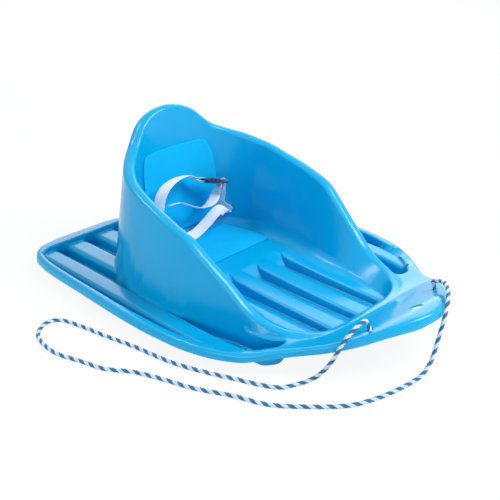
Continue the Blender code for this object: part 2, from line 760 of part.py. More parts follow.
def lowest_underside(tree, place, spots):
    """How far the sheet's underside reaches below a frame's origin, over some spots."""
    down = (place.to_3x3() @ Vector((0, 0, 1))).normalized()
    depth = 0.0
    for x, y in spots:
        start = place @ Vector((x, y, -20))
        hit = tree.ray_cast(start, down, 40)[0]
        depth = max(depth, 20 - (hit - start).length)
    return depth


def slot_frames(tree):
    """Axes of the two belt slots on the sheet, and a gap behind its underside."""
    frames = []
    for side in (-1, 1):
        point, normal = sheet_point(side * BELT_SLOT[0], BELT_SLOT[1])
        front = frame_at(tree.ray_cast(point + normal * 15, -normal, 40)[0], normal)
        spots = [(x * STOP[0] / 2, y * STOP[1] / 2)
                 for x in np.linspace(-1, 1, 13) for y in np.linspace(-1, 1, 7)]
        depth = lowest_underside(tree, front, spots) + GAP
        frames.append((front, front @ Matrix.Translation((0, 0, -depth))))
    return frames


# Pads

def pad(sled, name, outline, cast, step):
    """A foam sheet laid on the shell: an outline in plan or in front view."""
    ring = np.array(outline, float)
    xs = np.arange(ring[:, 0].min() + step / 2, ring[:, 0].max(), step)
    ys = np.arange(ring[:, 1].min() + step / 2, ring[:, 1].max(), step)
    grid = np.array([(x, y) for x in xs for y in ys])
    gap, _, _ = nearest(grid, np.vstack([ring, ring[:1]]))
    grid = grid[inside(grid, ring) & (gap > step * 0.35)]
    flat = []
    for a, b in zip(ring, np.roll(ring, -1, axis=0)):
        count = max(1, int(round(np.linalg.norm(b - a) / step)))
        flat += [tuple(a + (b - a) * k / count) for k in range(count)]
    count = len(flat)
    flat += [tuple(q) for q in grid]
    edges = [(k, (k + 1) % count) for k in range(count)]
    out = delaunay_2d_cdt([Vector(q) for q in flat], edges, [], 1, 1e-4)
    verts = [cast(v.x, v.y) for v in out[0]]
    mesh = bpy.data.meshes.new(name)
    mesh.from_pydata([tuple(v) for v in verts], [], [tuple(f) for f in out[2]])
    made = bmesh.new()
    made.from_mesh(mesh)
    up = Vector((0, -0.4, 1))
    for face in made.faces:
        face.normal_update()
        if face.normal.dot(up) < 0:
            face.normal_flip()
    made.to_mesh(mesh)
    made.free()
    piece = sled.add(name, mesh, sled.foam)
    foam = piece.modifiers.new("Foam thickness", "SOLIDIFY")
    foam.thickness = PAD * MM
    foam.offset = 1.0
    foam.use_even_offset = True
    smooth_shaded(piece)
    return piece


def laid(tree, origin, direction, inward):
    """A point GAP off the shell's surface, found along a direction."""
    hit, normal, _, _ = tree.ray_cast(origin, direction, 400)
    if normal.dot(inward) < 0:
        normal = -normal
    place, even = sheet_point(hit.x, hit.y)
    return hit + even * GAP * 1.3


def pads(sled, tree):
    """Seat pad, laid out from above, and back pad, laid out from the front."""
    down, back = Vector((0, 0, -1)), Vector((0, 1, 0))
    pad(sled, "seat_pad", SEAT_PAD,
        lambda x, y: laid(tree, Vector((x, y, 120)), down, -down), 17.0)
    pad(sled, "back_pad", BACK_PAD,
        lambda x, z: laid(tree, Vector((x, 120, z)), back, -back), 22.0)


# Belt

def ribbon(sled, name, stations, step=6.0, look=None):
    """Webbing through stations of a point and a width direction."""
    line = smooth([(*p, *w) for p, w in stations], step)
    points = [Vector(q[:3]) for q in line]
    verts, faces = [], []
    for k, q in enumerate(line):
        ahead = points[min(k + 1, len(points) - 1)] - points[max(k - 1, 0)]
        ahead.normalize()
        wide = Vector(q[3:])
        wide = (wide - ahead * wide.dot(ahead)).normalized() * (WEB / 2)
        verts += [points[k] - wide, points[k] + wide]
    for k in range(len(line) - 1):
        faces.append((2 * k, 2 * k + 1, 2 * k + 3, 2 * k + 2))
    mesh = bpy.data.meshes.new(name)
    mesh.from_pydata([tuple(v) for v in verts], [], faces)
    piece = sled.add(name, mesh, look or sled.webbing)
    cloth = piece.modifiers.new("Webbing thickness", "SOLIDIFY")
    cloth.thickness = WEB_THICK * MM
    cloth.offset = 0.0
    cloth.use_even_offset = True
    smooth_shaded(piece, 50)
    return piece


def on_buckle(sled, x, y, z):
    """A place of the buckle's own frame, X from the plug's strap end to the socket's."""
    return sled.buckle @ Vector((x, y, z))


def lap_straps(sled, frames):
    """Near strap to the socket, far strap through the plug, and the strap in the crease."""
    wide = sled.buckle.to_3x3() @ Vector((0, 1, 0))
    stack = WEB_THICK / 2 + 0.55
    near, far = [front for front, _ in frames]
    near_end, far_end = [back @ Matrix.Translation((0, 0, 2 * GAP)) for _, back in frames]
    near_level, far_level = [place.to_3x3() @ Vector((1, 0, 0)) for place in (near, far)]
    end = PLUG_BASE + SOCKET_LENGTH
    ribbon(sled, "near_lap_strap", [
        (near_end @ Vector((0, stack, 0)), -near_level),
        (near @ Vector((0, stack, 6)), -near_level),
        (near @ Vector((2, stack + 12, 13)), Vector((-0.5, -0.85, 0))),
        (Vector((-97, 168, 95)), Vector((0.1, -0.97, -0.15))),
        (Vector((-95, 166, 113)), Vector((0.5, -0.84, -0.2))),
        (Vector((-91, 167, 133)), Vector((0.6, -0.78, -0.2))),
        (Vector((-83, 168, 152)), Vector((0.55, -0.82, -0.1))),
        (Vector((-68, 169, 165)), Vector((0.4, -0.9, 0.05))),
        (Vector((-44, 171, 172)), Vector((0.1, -0.97, 0.15))),
        (Vector((-16, 177, 169)), Vector((-0.15, -0.93, 0.3))),
        (on_buckle(sled, end + 22, 0, 3.4), wide),
        *wrap(sled, end - LOCK_BAR / 2, 0.0, SOCKET_BAR / 2, wide, 9.0, 1.9),
        (on_buckle(sled, end + 12, 0, -1.6), wide)], 3.0)
    slot_out = LOCK_BAR + LOCK_SLOT / 2
    slot_in = 2 * LOCK_BAR + LOCK_SLOT * 1.5
    under = -PLUG_THICK / 2
    ribbon(sled, "far_lap_strap", [
        (far_end @ Vector((0, stack, 0)), far_level),
        (far @ Vector((0, stack, 6)), far_level),
        (far @ Vector((1, stack + 7, 13)), far_level),
        (Vector((86, 184, 77)), Vector((0.72, -0.68, 0))),
        (Vector((82, 183, 90)), Vector((0.6, -0.78, 0.05))),
        (Vector((82, 180, 106)), Vector((0.35, -0.9, 0.15))),
        (on_buckle(sled, slot_out, 0, under - 6), wide),
        (on_buckle(sled, slot_out, 0, under), wide),
        *over_bar(sled, (slot_out + slot_in) / 2, (slot_in - slot_out) / 2, wide),
        (on_buckle(sled, slot_in, 0, under), wide),
        (on_buckle(sled, slot_in + 1.0, 0, under - 7), wide),
        (Vector((65, 178, 113)), wide),
        (Vector((53, 175, 101)), wide),
        (Vector((39, 174, 94)), wide),
        (Vector((22, 174, 93)), wide),
        (Vector((-4, 175, 104)), wide),
        (Vector((-34, 175, 120)), wide),
        (Vector((-64, 175, 123)), wide)], 4.0)
    ribbon(sled, "crease_strap", [
        (near_end @ Vector((0, -stack, 0)), -near_level),
        (near @ Vector((0, -stack, 7)), -near_level),
        (Vector((-84, 175, 51)), Vector((-0.3, -0.9, -0.3))),
        (Vector((-60, 177, 45)), Vector((0.2, -0.85, -0.45))),
        (Vector((-28, 179, 42)), Vector((0.33, -0.75, -0.57))),
        (Vector((2, 179.5, 40)), Vector((0.33, -0.75, -0.57))),
        (Vector((19, 178, 47)), Vector((0.33, -0.75, -0.57))),
        (Vector((35, 175, 58)), Vector((0.33, -0.75, -0.57))),
        (Vector((52, 171, 75)), Vector((0.36, -0.72, -0.59))),
        (Vector((66, 168, 83)), Vector((0.2, -0.6, -0.77))),
        (Vector((79, 166, 81)), Vector((-0.25, -0.35, -0.9))),
        (Vector((87, 168, 72)), Vector((-0.6, 0.1, -0.75))),
        (Vector((91, 174, 63)), Vector((-0.72, 0.5, -0.4))),
        (far @ Vector((0, -stack, 7)), -far_level),
        (far_end @ Vector((0, -stack, 0)), -far_level)], 5.0)


def wrap(sled, x, z, half, wide, back, apart):
    """Stations of webbing round a bar, from above it to below, on the plug's side of it."""
    radius = math.hypot(LOCK_BAR / 2, half) + GAP + WEB_THICK / 2 + 0.15
    turns = [math.radians(90 + 30 * k) for k in range(7)]
    arc = [(x + radius * math.cos(t), z + radius * math.sin(t)) for t in turns]
    places = [(x + back, z + apart)] + arc + [(x + back, z - apart)]
    return [(on_buckle(sled, px, 0, pz), wide) for px, pz in places]


def over_bar(sled, x, radius, wide):
    """Stations of webbing up one slot, over the bar and down the next one."""
    top = PLUG_THICK / 2 - 0.4
    turns = [math.radians(180 - 30 * k) for k in range(7)]
    return [(on_buckle(sled, x + radius * math.cos(t), 0, top + radius * math.sin(t)), wide)
            for t in turns]


def strap_stops(sled, frames):
    """Flat bars behind the slots that hold the webbing."""
    for name, (_, back) in zip(("near_strap_stop", "far_strap_stop"), frames):
        place = back @ Matrix.Translation((0, 0, -STOP[2] / 2))
        piece = sled.add(name, box_mesh(STOP), sled.acetal, place)
        rounded(piece, 0.8)
        smooth_shaded(piece)


def buckle_socket(sled):
    """Female half: a tapered housing with a mouth, side windows and a strap bar."""
    x0, x1 = PLUG_BASE, PLUG_BASE + SOCKET_LENGTH
    t, s = SOCKET_THICK / 2, SOCKET_BAR / 2
    shoulder, nose = x1 - 14.0, x1 - 7.6
    side = [(x0, -t), (shoulder, -t), (nose, -s), (x1, -s), (x1, s), (nose, s),
            (shoulder, t), (x0, t)]
    upright = sled.buckle @ Matrix.Rotation(math.pi / 2, 4, "X")
    piece = sled.add("buckle_socket", outline_mesh(side, BUCKLE), sled.acetal, upright)
    rounded(piece, 1.2)
    size = (CAVITY[0] + 1, CAVITY[1], CAVITY[2])
    cut(piece, sled.cutter("socket_mouth", box_mesh(size, (x0 + size[0] / 2 - 1, 0, 0)),
                           sled.buckle))
    for k in (-1, 1):
        size = (WINDOW[1] - WINDOW[0], 6, CAVITY[2] - 0.6)
        centre = (x0 + (WINDOW[0] + WINDOW[1]) / 2, k * BUCKLE / 2, 0)
        cut(piece, sled.cutter("socket_window", box_mesh(size, centre), sled.buckle))
    slot = (LOCK_SLOT + 0.8, WEB + 1.6, 20)
    centre = (x1 - LOCK_BAR - slot[0] / 2, 0, 0)
    cut(piece, sled.cutter("socket_slot", box_mesh(slot, centre), sled.buckle))
    smooth_shaded(piece)


def buckle_plug(sled):
    """Male half: base with a ladder lock for the strap, and a guide tongue."""
    length = PLUG_BASE - GAP
    piece = sled.add("buckle_plug", box_mesh((length, BUCKLE, PLUG_THICK), (length / 2, 0, 0)),
                     sled.acetal, sled.buckle)
    rounded(piece, 1.0)
    tongue = box_mesh((TONGUE[0] + 2, TONGUE[1], TONGUE[2]), (length - 2 + TONGUE[0] / 2 + 1, 0, 0))
    cut(piece, sled.cutter("tongue", tongue, sled.buckle), "UNION")
    for x in (LOCK_BAR + LOCK_SLOT / 2, 2 * LOCK_BAR + LOCK_SLOT * 1.5):
        tool = box_mesh((LOCK_SLOT, WEB + 1.6, 20), (x, 0, 0))
        cut(piece, sled.cutter("lock_slot", tool, sled.buckle))
    smooth_shaded(piece)


def latch_arms(sled):
    """The plug's two sprung arms, each with its button in a window of the socket."""
    root = PLUG_BASE + 0.2
    half = ARM_WIDE / 2
    catch = BUCKLE / 2 - 1.6
    a, b = PLUG_BASE + WINDOW[0] + 0.5, PLUG_BASE + WINDOW[1] - 1.4
    for name, side in (("rear_latch_arm", -1), ("front_latch_arm", 1)):
        pivot = Vector((root + ARM_ROOT, side * ARM_OUT, 0))
        shape = [(root, ARM_OUT - half), (b, ARM_OUT - half), (b + 2.5, ARM_OUT + 0.2),
                 (b, BUCKLE / 2 - 1.5), (b - 4, BUCKLE / 2 - 0.3), (a + 3, BUCKLE / 2 - 0.3),
                 (a, catch), (a, ARM_OUT + half), (root, ARM_OUT + half)]
        shape = [(x - pivot.x, side * y - pivot.y) for x, y in shape]
        place = sled.buckle @ Matrix.Translation(pivot)
        piece = sled.add(name, outline_mesh(shape, ARM_THICK), sled.acetal, place)
        rounded(piece, 0.3, 1)
        smooth_shaded(piece)


# Rope

def rope(sled, tree):
    """The rope from hole to hole and the stopper knots under the nose."""
    ends = []
    reach = ROPE_HOLE_DIA / 2
    for side in (-1, 1):
        point, normal = sheet_point(side * ROPE_HOLE[0], ROPE_HOLE[1])
        place = frame_at(point, normal)
        ring = [(k * math.cos(a), k * math.sin(a)) for k in (reach + 0.1, KNOT_DIA / 2)
                for a in np.linspace(0, math.tau, 8, endpoint=False)]
        depth = lowest_underside(tree, place, ring) + GAP
        depth += math.sqrt((KNOT_DIA / 2) ** 2 - reach ** 2)
        ends.append((point, normal, depth - KNOT_DIA / 2 - GAP))
        name = "near_knot" if side < 0 else "far_knot"
        made = bmesh.new()
        bmesh.ops.create_uvsphere(made, u_segments=16, v_segments=10, radius=KNOT_DIA / 2)
        mesh = bpy.data.meshes.new(name)
        made.to_mesh(mesh)
        made.free()
        place = place @ Matrix.Translation((0, 0, -depth))
        smooth_shaded(sled.add(name, mesh, sled.rope, place))
    (near, up_near, start), (far, up_far, finish) = ends
    route = [near - up_near * start, near + up_near * 5, near + up_near * 13]
    route += [Vector(p) for p in ROPE_ROUTE]
    route += [far + up_far * 13, far + up_far * 5, far - up_far * finish]
    line = smooth([tuple(p) for p in route], 3.0)
    line[:, 2] = np.maximum(line[:, 2], ROPE_DIA / 2 + 0.1)
    along = np.concatenate([[0], np.cumsum(np.linalg.norm(np.diff(line, axis=0), axis=1))])
    count = int(round((along[-1] - 2 * ROPE_DIA) / ROPE_STEP))
    marks = np.linspace(ROPE_DIA, along[-1] - ROPE_DIA, count + 1)
    marks = np.concatenate([[0], marks, [along[-1]]])
    points = np.column_stack([np.interp(marks, along, line[:, k]) for k in range(3)])
    print("rope length mm", round(along[-1]), "points", len(points))
    curve = bpy.data.curves.new("pull_rope", "CURVE")
    curve.dimensions = "3D"
    curve.bevel_depth = ROPE_DIA / 2
    curve.bevel_resolution = 2
    curve.use_fill_caps = True
    spline = curve.splines.new("POLY")
    spline.points.add(len(points) - 1)
    for place, (x, y, z) in zip(spline.points, points):
        place.co = (x, y, z, 1)
    smooth_shaded(sled.add("pull_rope", curve_mesh(curve), sled.rope), 60)


def main():
    """Build every piece of the sled."""
    purge()
    sled = Sled()
    formed = shell(sled)
    tree = surface_tree(formed)
    frames = slot_frames(tree)
    pads(sled, tree)
    shell_holes(sled, formed, [front for front, _ in frames])
    smooth_shaded(formed, 32)
    lap_straps(sled, frames)
    strap_stops(sled, frames)
    buckle_socket(sled)
    buckle_plug(sled)
    latch_arms(sled)
    rope(sled, tree)


if __name__ == "__main__":
    main()
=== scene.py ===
"""Toddler pull sled as photographed: formed shell, foam pads, lap belt and pull rope.

Laid out as a Blender add-on and run as a script. Lengths inside are millimetres of the
CAD frame and become metres when a mesh is made.
"""
import math
from functools import partial

import bmesh
import bpy
import numpy as np
from bpy.props import FloatProperty, FloatVectorProperty, IntProperty, PointerProperty
from mathutils import Matrix, Vector
from mathutils.bvhtree import BVHTree
from mathutils.geometry import delaunay_2d_cdt


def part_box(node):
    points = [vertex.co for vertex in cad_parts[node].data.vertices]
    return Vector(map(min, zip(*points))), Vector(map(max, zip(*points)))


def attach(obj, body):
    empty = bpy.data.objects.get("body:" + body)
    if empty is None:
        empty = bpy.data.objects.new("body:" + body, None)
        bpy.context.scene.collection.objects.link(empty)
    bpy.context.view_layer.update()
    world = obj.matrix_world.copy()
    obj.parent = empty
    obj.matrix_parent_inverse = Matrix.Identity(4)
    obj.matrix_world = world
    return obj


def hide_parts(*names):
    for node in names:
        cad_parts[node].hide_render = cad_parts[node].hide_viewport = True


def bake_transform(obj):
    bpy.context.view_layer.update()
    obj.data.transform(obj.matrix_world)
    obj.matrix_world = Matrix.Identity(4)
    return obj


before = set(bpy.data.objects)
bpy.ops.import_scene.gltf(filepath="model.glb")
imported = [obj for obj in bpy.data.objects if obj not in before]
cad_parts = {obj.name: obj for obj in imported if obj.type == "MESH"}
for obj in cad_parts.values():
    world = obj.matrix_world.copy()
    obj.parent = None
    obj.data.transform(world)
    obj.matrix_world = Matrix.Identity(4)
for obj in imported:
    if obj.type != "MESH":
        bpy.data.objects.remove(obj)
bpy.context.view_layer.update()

bl_info = {
    "name": "Toddler pull sled",
    "version": (1, 0, 0),
    "blender": (4, 5, 0),
    "location": "3D View > Sidebar > Sled",
    "description": "Dresses the sled's CAD frame: shell, pads, belt, rope and studio",
    "category": "Object",
}

MM = 0.001
GAP = 0.3                   # clearance between neighbouring pieces

# Formed sheet
WALL = 3.2                  # sheet thickness
RIB_TOP = 25.0              # tops of the deck ribs
RIM_TOP = 33.5              # top of the outer rim along the sides
RIM_SKIRT = 14.0            # height of the rolled outer edge
FOOT_RADIUS = 4.0           # fillet where a wall ends on a floor
# Walls: rounding where it starts, fillet where it ends, draft in degrees
SKIRT_WALL = (6.5, 0.0, 5.0)
RIM_WALL = (5.0, FOOT_RADIUS, 5.0)
RIB_WALL = (9.0, FOOT_RADIUS, 5.0)
GROOVE_WALL = (7.0, FOOT_RADIUS, 7.0)   # of the footwell's grooves
RIB_EDGE_IN = 4.0           # how far a rib's rounding starts inside its outline
CREASE_BLEND = 5.0          # fillet where the seat's wall runs out in the footwell
CREASE_RISE = 3.0           # height of the wall over which that fillet grows to its full width
CROWN_HALF = 30.0           # least half width that the apron's crown is spread over
REAR = 390.0                # where the deck ribs end, beyond the rear edge
PAST_MIDDLE = -60.0         # how far half outlines reach beyond the middle when closed

# Outer edge, half, from the rear centre to the tip of the nose
OUTLINE = [(0, 364), (32, 365), (66, 372), (120, 373.5), (198, 373), (232, 363),
           (252, 342), (262, 308), (267, 262), (270, 183), (273, 117), (275, 47),
           (274, -10), (269, -65), (260, -112), (247, -147), (228, -178),
           (207, -202), (189, -220), (174, -237), (162, -254), (151, -272),
           (136, -293), (117, -314), (91, -335), (62, -355), (32, -369), (0, -374)]
# Place along the sled, rise of the rim there, and of the apron's middle over it
RIM_RISE = [(-176, 0, 0), (-200, 4.5, -2), (-240, 13.5, -7), (-260, 19, -5), (-290, 29, 2),
            (-320, 40.5, 6), (-345, 51, 7), (-365, 56.5, 4), (-385, 59, 0)]
# Inner edge of the rim, half, from the rear centre to the groove's front corner
POCKET = [(0, 350), (60, 351), (180, 351), (220, 351), (238, 343), (247, 329), (252, 308),
          (255.5, 280), (260, 180), (262, 60), (261, -10), (256, -66), (247, -105),
          (234, -142), (216, -171), (201, -187), (188, -200), (172, -209), (154, -206),
          (148, -198), (153, -184), (160, -165), (166, -140), (160, -100), (130, -60),
          (100, 0), (60, 60), (0, 100)]
# Deck ribs, half: the outer one has a tapered front end, the others run under the seat
RIB_WING = [(207, REAR), (208, 200), (209, 0), (209, -100), (206, -137), (202, -161),
            (198, -180), (198, -186), (203, -187), (210, -178), (219, -163),
            (229, -138), (235, -108), (238, -50), (237, 100), (236, REAR)]
DECK_RIBS = [(143.0, 176.0, 150.0), (71.0, 107.0, 200.0), (-37.0, 37.0, 220.0)]

# Seat rim: x, y, height of the crest, run from the crest to the seat floor,
# share of the way from the rib tops (0) to the groove floors (1) of that foot
SEAT_RIM = [(0, 249, 288, 61, 0), (30, 248, 284, 60, 0), (62, 242, 270, 57, 0),
            (96, 226, 238, 50, 0), (124, 203, 223, 45, 0), (143, 180, 215, 46, 0),
            (156, 157, 207, 50, 0), (165, 128, 199, 57, 0), (170, 96, 189, 62, 0),
            (173, 64, 180, 66, 0), (174.5, 30, 169, 70, 0), (172.5, -11, 154, 76, 0),
            (168, -40, 132, 77, 0), (161.5, -74, 105, 71, 0), (158, -100, 84, 64, 0),
            (155, -121, 66, 57, 0), (151, -140, 54.5, 52, 0), (146.5, -160, 47.5, 48, 0),
            (140, -181, 43.5, 44, 0), (129, -203, 42, 40, 0.1), (113, -223, 41, 35, 0.5),
            (92, -236, 40.5, 30, 1), (62, -243, 41, 29, 1), (30, -245, 42, 29, 1),
            (0, -245, 42.5, 29, 1)]
BAND_HALF = 11.0            # half width of the rounded seat rim
BAND_DEPTH = 8.0            # how far that rounding falls
SEAT_DRAFT = 8.0            # draft of the seat's outer wall in degrees
SEAT_FILLET = 0.6           # fillet radius inside the seat against the run of its wall
SECTION_ROUNDS = 5          # rounds that bring the slopes of that rim and wall together
FALL_AWAY = 2.0             # slope by which the rim's surface dives under the seat floor
NORMAL_REACH = 0.5          # how far from a point the sheet is felt for its slope there

# Seat floor and footwell: place along the sled, height of floor and rib tops, of grooves
FLOOR_LINE = [(-260, 16.0, WALL), (-165, 17.5, WALL), (-90, 19.0, WALL), (-45, 21.0, WALL),
              (-4, 23.3, WALL), (0, 23.6, 3.6), (3, 23.8, 4.8), (6, 24.0, 7.0), (21, 25.0, 21.6),
              (24, 25.2, 24.0), (28, 25.3, 25.3), (60, 26.0, 26.0), (190, 28.0, 28.0),
              (260, 28.0, 28.0)]
FOOT_GROOVES = (0.0, 66.0)  # centre lines of the footwell grooves, half
FOOT_GROOVE = 41.0          # and their width

# Holes in the sheet
ROPE_HOLE = (88.0, -313.0)
ROPE_HOLE_DIA = 11.0
NOSE_HOLE = (0.0, -335.0)
NOSE_HOLE_DIA = 22.0
BELT_SLOT = (103.0, 190.0)
BELT_SLOT_LENGTH = 24.0
BELT_SLOT_WIDTH = 6.0
BELT_SLOT_CORNER = 1.5      # rounding of the slot's corners
HOLE_SIDES = 32             # points round a hole

# Mesh of the sheet
ARC_POINTS = 4              # points on each rounding of a wall
SEARCH_STEP = 12.0          # longest span searched for the ends of a line that shows
HALVINGS = 14               # steps that narrow such an end down
SHOWS = 0.03                # a surface shows where it is this close to the sheet's height
SAME_LEVEL = 0.6            # a rib or a groove is at a level when it is this close to it
MIDDLE_STEP = 4.0           # spacing of the points along the middle
WIDE_GRID, FINE_GRID = 9.0, 3.0     # spacing of loose points on the apron, and in the creases
POINTS_APART = 0.25         # points closer than this become one
CLEAR_OF_LINE = 0.5         # lines stop this far from a hole, and may follow the rim this close
LOOSE_APART = 1.4           # least distance of a loose point from any line's point
CREASE_REACH = 1.5          # loose points reach this many fillet widths from a crease
PLAN_NEAR = 1e-4            # points of a plan mesh that fall together
EVEN_ROUNDS = 6             # rounds that even out the sheet's underside
THICKNESS_SHARE = (0.85, 1.5)       # least and greatest thickness left, as shares of the wall

# Foam pads
PAD = 3.0                   # thickness
PAD_STEP = 7.0              # spacing of the points that lay a pad on the shell
PAD_EDGE_STEP = 4.0         # and of those round its edge
PAD_CLEAR = 0.4             # share of that spacing that is kept free along the edge
PAD_BEVEL = 0.9             # rounding of the cut edge
PAD_OFF = 1.3               # pads lie this many gaps off the shell
PAD_FACES = (0, -0.4, 1)    # way that the pads' upper sides look
CAST_FROM, CAST_REACH = 120, 400    # level that pads are laid from, and how far
SEAT_CORNER, BACK_CORNER = 8.0, 17.0    # rounding of the pads' corners
SEAT_PAD = [(-112, 80), (112, 80), (111, 112), (106, 142), (98, 168), (90, 188),
            (-90, 188), (-98, 168), (-106, 142), (-111, 112)]
BACK_PAD = [(-78, 211), (-89, 180), (-92, 140), (-87, 90), (-86, 41), (86, 41), (87, 90),
            (91, 140), (88, 180), (77, 211)]

# Belt and buckle
WEB = 20.0                          # width of the webbing
WEB_THICK = 1.5
WEB_CURVE, WEB_STEP = 1.5, 2.0      # spacing of points on its curve, and of its sections
WEB_STACK = 0.55                    # gap between two layers of webbing in a slot, halved
WEB_SLACK = 0.15                    # how far webbing stands off a bar beyond the usual gap
BUCKLE_AT = (83.0, 170.0, 130.5)    # strap end of the plug
BUCKLE_AXIS = (-0.877, 0.42, 0.229)     # from there to the strap end of the socket
BUCKLE_WIDE = (-0.315, -0.867, 0.386)   # across the buckle
SOCKET_BAR = 3.0                    # thickness of the socket's strap bar
PLUG_THICK = 6.0
PLUG_BASE = 18.0                    # length of the plug that stays outside the socket
SOCKET_LENGTH = 34.0
LOCK_BAR = 3.5                      # bars that webbing goes round, along the buckle
LOCK_SLOT = 3.0                     # and the slots beside them
LOCK_SUNK = 0.4                     # how far webbing sinks between those bars
STOP_THICK = 3.0                    # thickness of the bars behind the belt slots
# Half section of webbing, over its half width and half thickness
WEB_EDGE = [(-1.0, 0.0), (-0.985, 0.7), (-0.95, 1.0), (-0.5, 1.0), (0.0, 1.0), (0.5, 1.0),
            (0.95, 1.0), (0.985, 0.7)]
# Free stations of the straps: place, and direction of the width where it isn't the buckle's
NEAR_RISE = [(-97, 168, 95, 0.1, -0.97, -0.15), (-95, 166, 113, 0.5, -0.84, -0.2),
             (-91, 167, 133, 0.6, -0.78, -0.2), (-83, 168, 152, 0.55, -0.82, -0.1),
             (-68, 169, 165, 0.4, -0.9, 0.05), (-44, 171, 172, 0.1, -0.97, 0.15),
             (-16, 177, 169, -0.15, -0.93, 0.3)]
FAR_RISE = [(84, 183, 77, 0.72, -0.68, 0), (77, 182, 90, 0.5, -0.84, 0.05),
            (78, 179, 106, 0.25, -0.93, 0.15)]
FAR_DROP = [(65, 178, 113, 0.15, -0.95, 0.05), (53, 175, 101, 0.3, -0.93, -0.15),
            (39, 174, 94, 0.1, -0.95, 0.1)]
FAR_TAIL = [(22, 174, 93), (-4, 175, 104), (-34, 175, 120), (-64, 175, 123)]
CREASE_RUN = [(-84, 175, 51, -0.3, -0.9, -0.3), (-60, 177, 45, 0.2, -0.85, -0.45),
              (-28, 179, 42, 0.33, -0.75, -0.57), (2, 179.5, 40, 0.33, -0.75, -0.57),
              (19, 178, 47, 0.33, -0.75, -0.57), (35, 175, 58, 0.33, -0.75, -0.57),
              (52, 172, 72, 0.36, -0.72, -0.59), (63, 170, 77, 0.3, -0.55, -0.78),
              (73, 169, 73, 0.15, -0.3, -0.94), (80, 172, 65, -0.2, 0.35, -0.9),
              (87, 178, 60, -0.6, 0.65, -0.45)]

# Rope
ROPE_DIA = 7.0
ROPE_BOLD = 1.06            # strands stand a little proud of the rope's nominal round
ROPE_CURVE, ROPE_STEP = 3.0, 2.4    # spacing of points on its curve, and of its sections
ROPE_STRAIGHT = (5, 13)     # heights over a hole between which the rope runs straight
ROPE_OFF_FLOOR = 0.1        # how far its lowest stretch stays off the floor
STRAND_SHARE = 0.5          # thickness of a strand as a share of the rope's
STRAND_SIDES = 8            # points round a strand
KNOT_DIA = 17.0
KNOT_LOOP = (2.05, 2.6)     # size of the trefoil that the knot follows, across and through
KNOT_POINTS = 90            # points along the knot
KNOT_TIGHT = 0.92           # share of its thickness that the rope keeps in the knot
# Route of the rope between the two holes, from the near one round the floor to the far one
ROPE_ROUTE = [(-98, -309, 93), (-110, -308, 91), (-121, -306, 85), (-137, -302, 71),
              (-148, -297, 50), (-157, -289, 30), (-168, -276, 11), (-189, -263, 3.7),
              (-217, -248, 3.7), (-249, -182, 3.7), (-283, -91, 3.7), (-298, -1, 3.7),
              (-311, 60, 3.7), (-320, 109, 3.7), (-332, 149, 3.7), (-349, 160, 3.7),
              (-371, 152, 3.7), (-388, 133, 3.7), (-397, 76, 3.7), (-382, 22, 3.7),
              (-369, -21, 3.7), (-344, -58, 3.7), (-325, -105, 3.7), (-309, -154, 3.7),
              (-279, -216, 3.7), (-261, -262, 3.7), (-232, -300, 3.7), (-180, -350, 3.7),
              (-143, -367, 3.7), (-95, -379, 3.7), (-47, -384, 4.5), (-22, -384, 19),
              (-4, -381, 45), (14, -378, 78), (30, -372, 95), (48, -361, 102),
              (68, -344, 102), (82, -328, 97)]

# Degrees from which an edge stays sharp under smooth shading
SHARP = {"rope": 80, "shell": 40, "foam": 50, "webbing": 50}

# Camera of the photograph: direction in degrees, distance, aim and lens
CAMERA_ROUND = -45.934
CAMERA_UP = 26.489
CAMERA_FAR = 1554.2
CAMERA_AIM = (0.0, 23.8, 61.5)
CAMERA_LENS = 61.2
SENSOR = 36.0
CLIP = (0.05, 50.0)         # in metres

# Studio, in metres: lamps with place, aim, size and watts
LAMPS = [("key_light", (0.8, -1.3, 1.8), (0, 0, 0.1), (1.0, 1.0), 46.0),
         ("side_light", (-2.1, -0.7, 0.5), (0, 0, 0.12), (1.6, 0.5), 15.0),
         ("rim_light", (1.8, 1.9, 1.15), (0, 0, 0.1), (2.2, 2.0), 30.0),
         ("top_light", (-0.66, 1.0, 1.85), (0, 0.05, 0.1), (0.5, 0.22), 6.0)]
FLOOR_HALF = 6.0            # half the width of the floor
FLOOR_DROP = 0.0002         # how far it lies under the sled
FLOOR_WHITE = 0.9           # share of plain white in what the camera sees of it
SKY = (0.18, 0.5)           # strength of the world's light from below and from above


# Plan curves

def smooth(points, step):
    """Points of a centripetal Catmull-Rom curve; an end at x = 0 continues mirrored."""
    pts = np.array(points, float)
    flip = np.ones(pts.shape[1])
    flip[0] = -1.0
    first = pts[1] * flip if abs(pts[0, 0]) < 1e-9 else 2 * pts[0] - pts[1]
    last = pts[-2] * flip if abs(pts[-1, 0]) < 1e-9 else 2 * pts[-1] - pts[-2]
    pts = np.vstack([first, pts, last])
    out = []
    for a, b, c, d in zip(pts[:-3], pts[1:-2], pts[2:-1], pts[3:]):
        t = [0.0]
        for p, q in ((a, b), (b, c), (c, d)):
            t.append(t[-1] + max(np.linalg.norm((q - p)[:3]), 1e-6) ** 0.5)
        count = max(1, int(round(np.linalg.norm((c - b)[:3]) / step)))
        for u in np.linspace(t[1], t[2], count, endpoint=False):
            ab = a + (b - a) * (u - t[0]) / (t[1] - t[0])
            bc = b + (c - b) * (u - t[1]) / (t[2] - t[1])
            cd = c + (d - c) * (u - t[2]) / (t[3] - t[2])
            abc = ab + (bc - ab) * (u - t[0]) / (t[2] - t[0])
            bcd = bc + (cd - bc) * (u - t[1]) / (t[3] - t[1])
            out.append(abc + (bcd - abc) * (u - t[1]) / (t[2] - t[1]))
    out.append(pts[-2])
    return np.array(out)


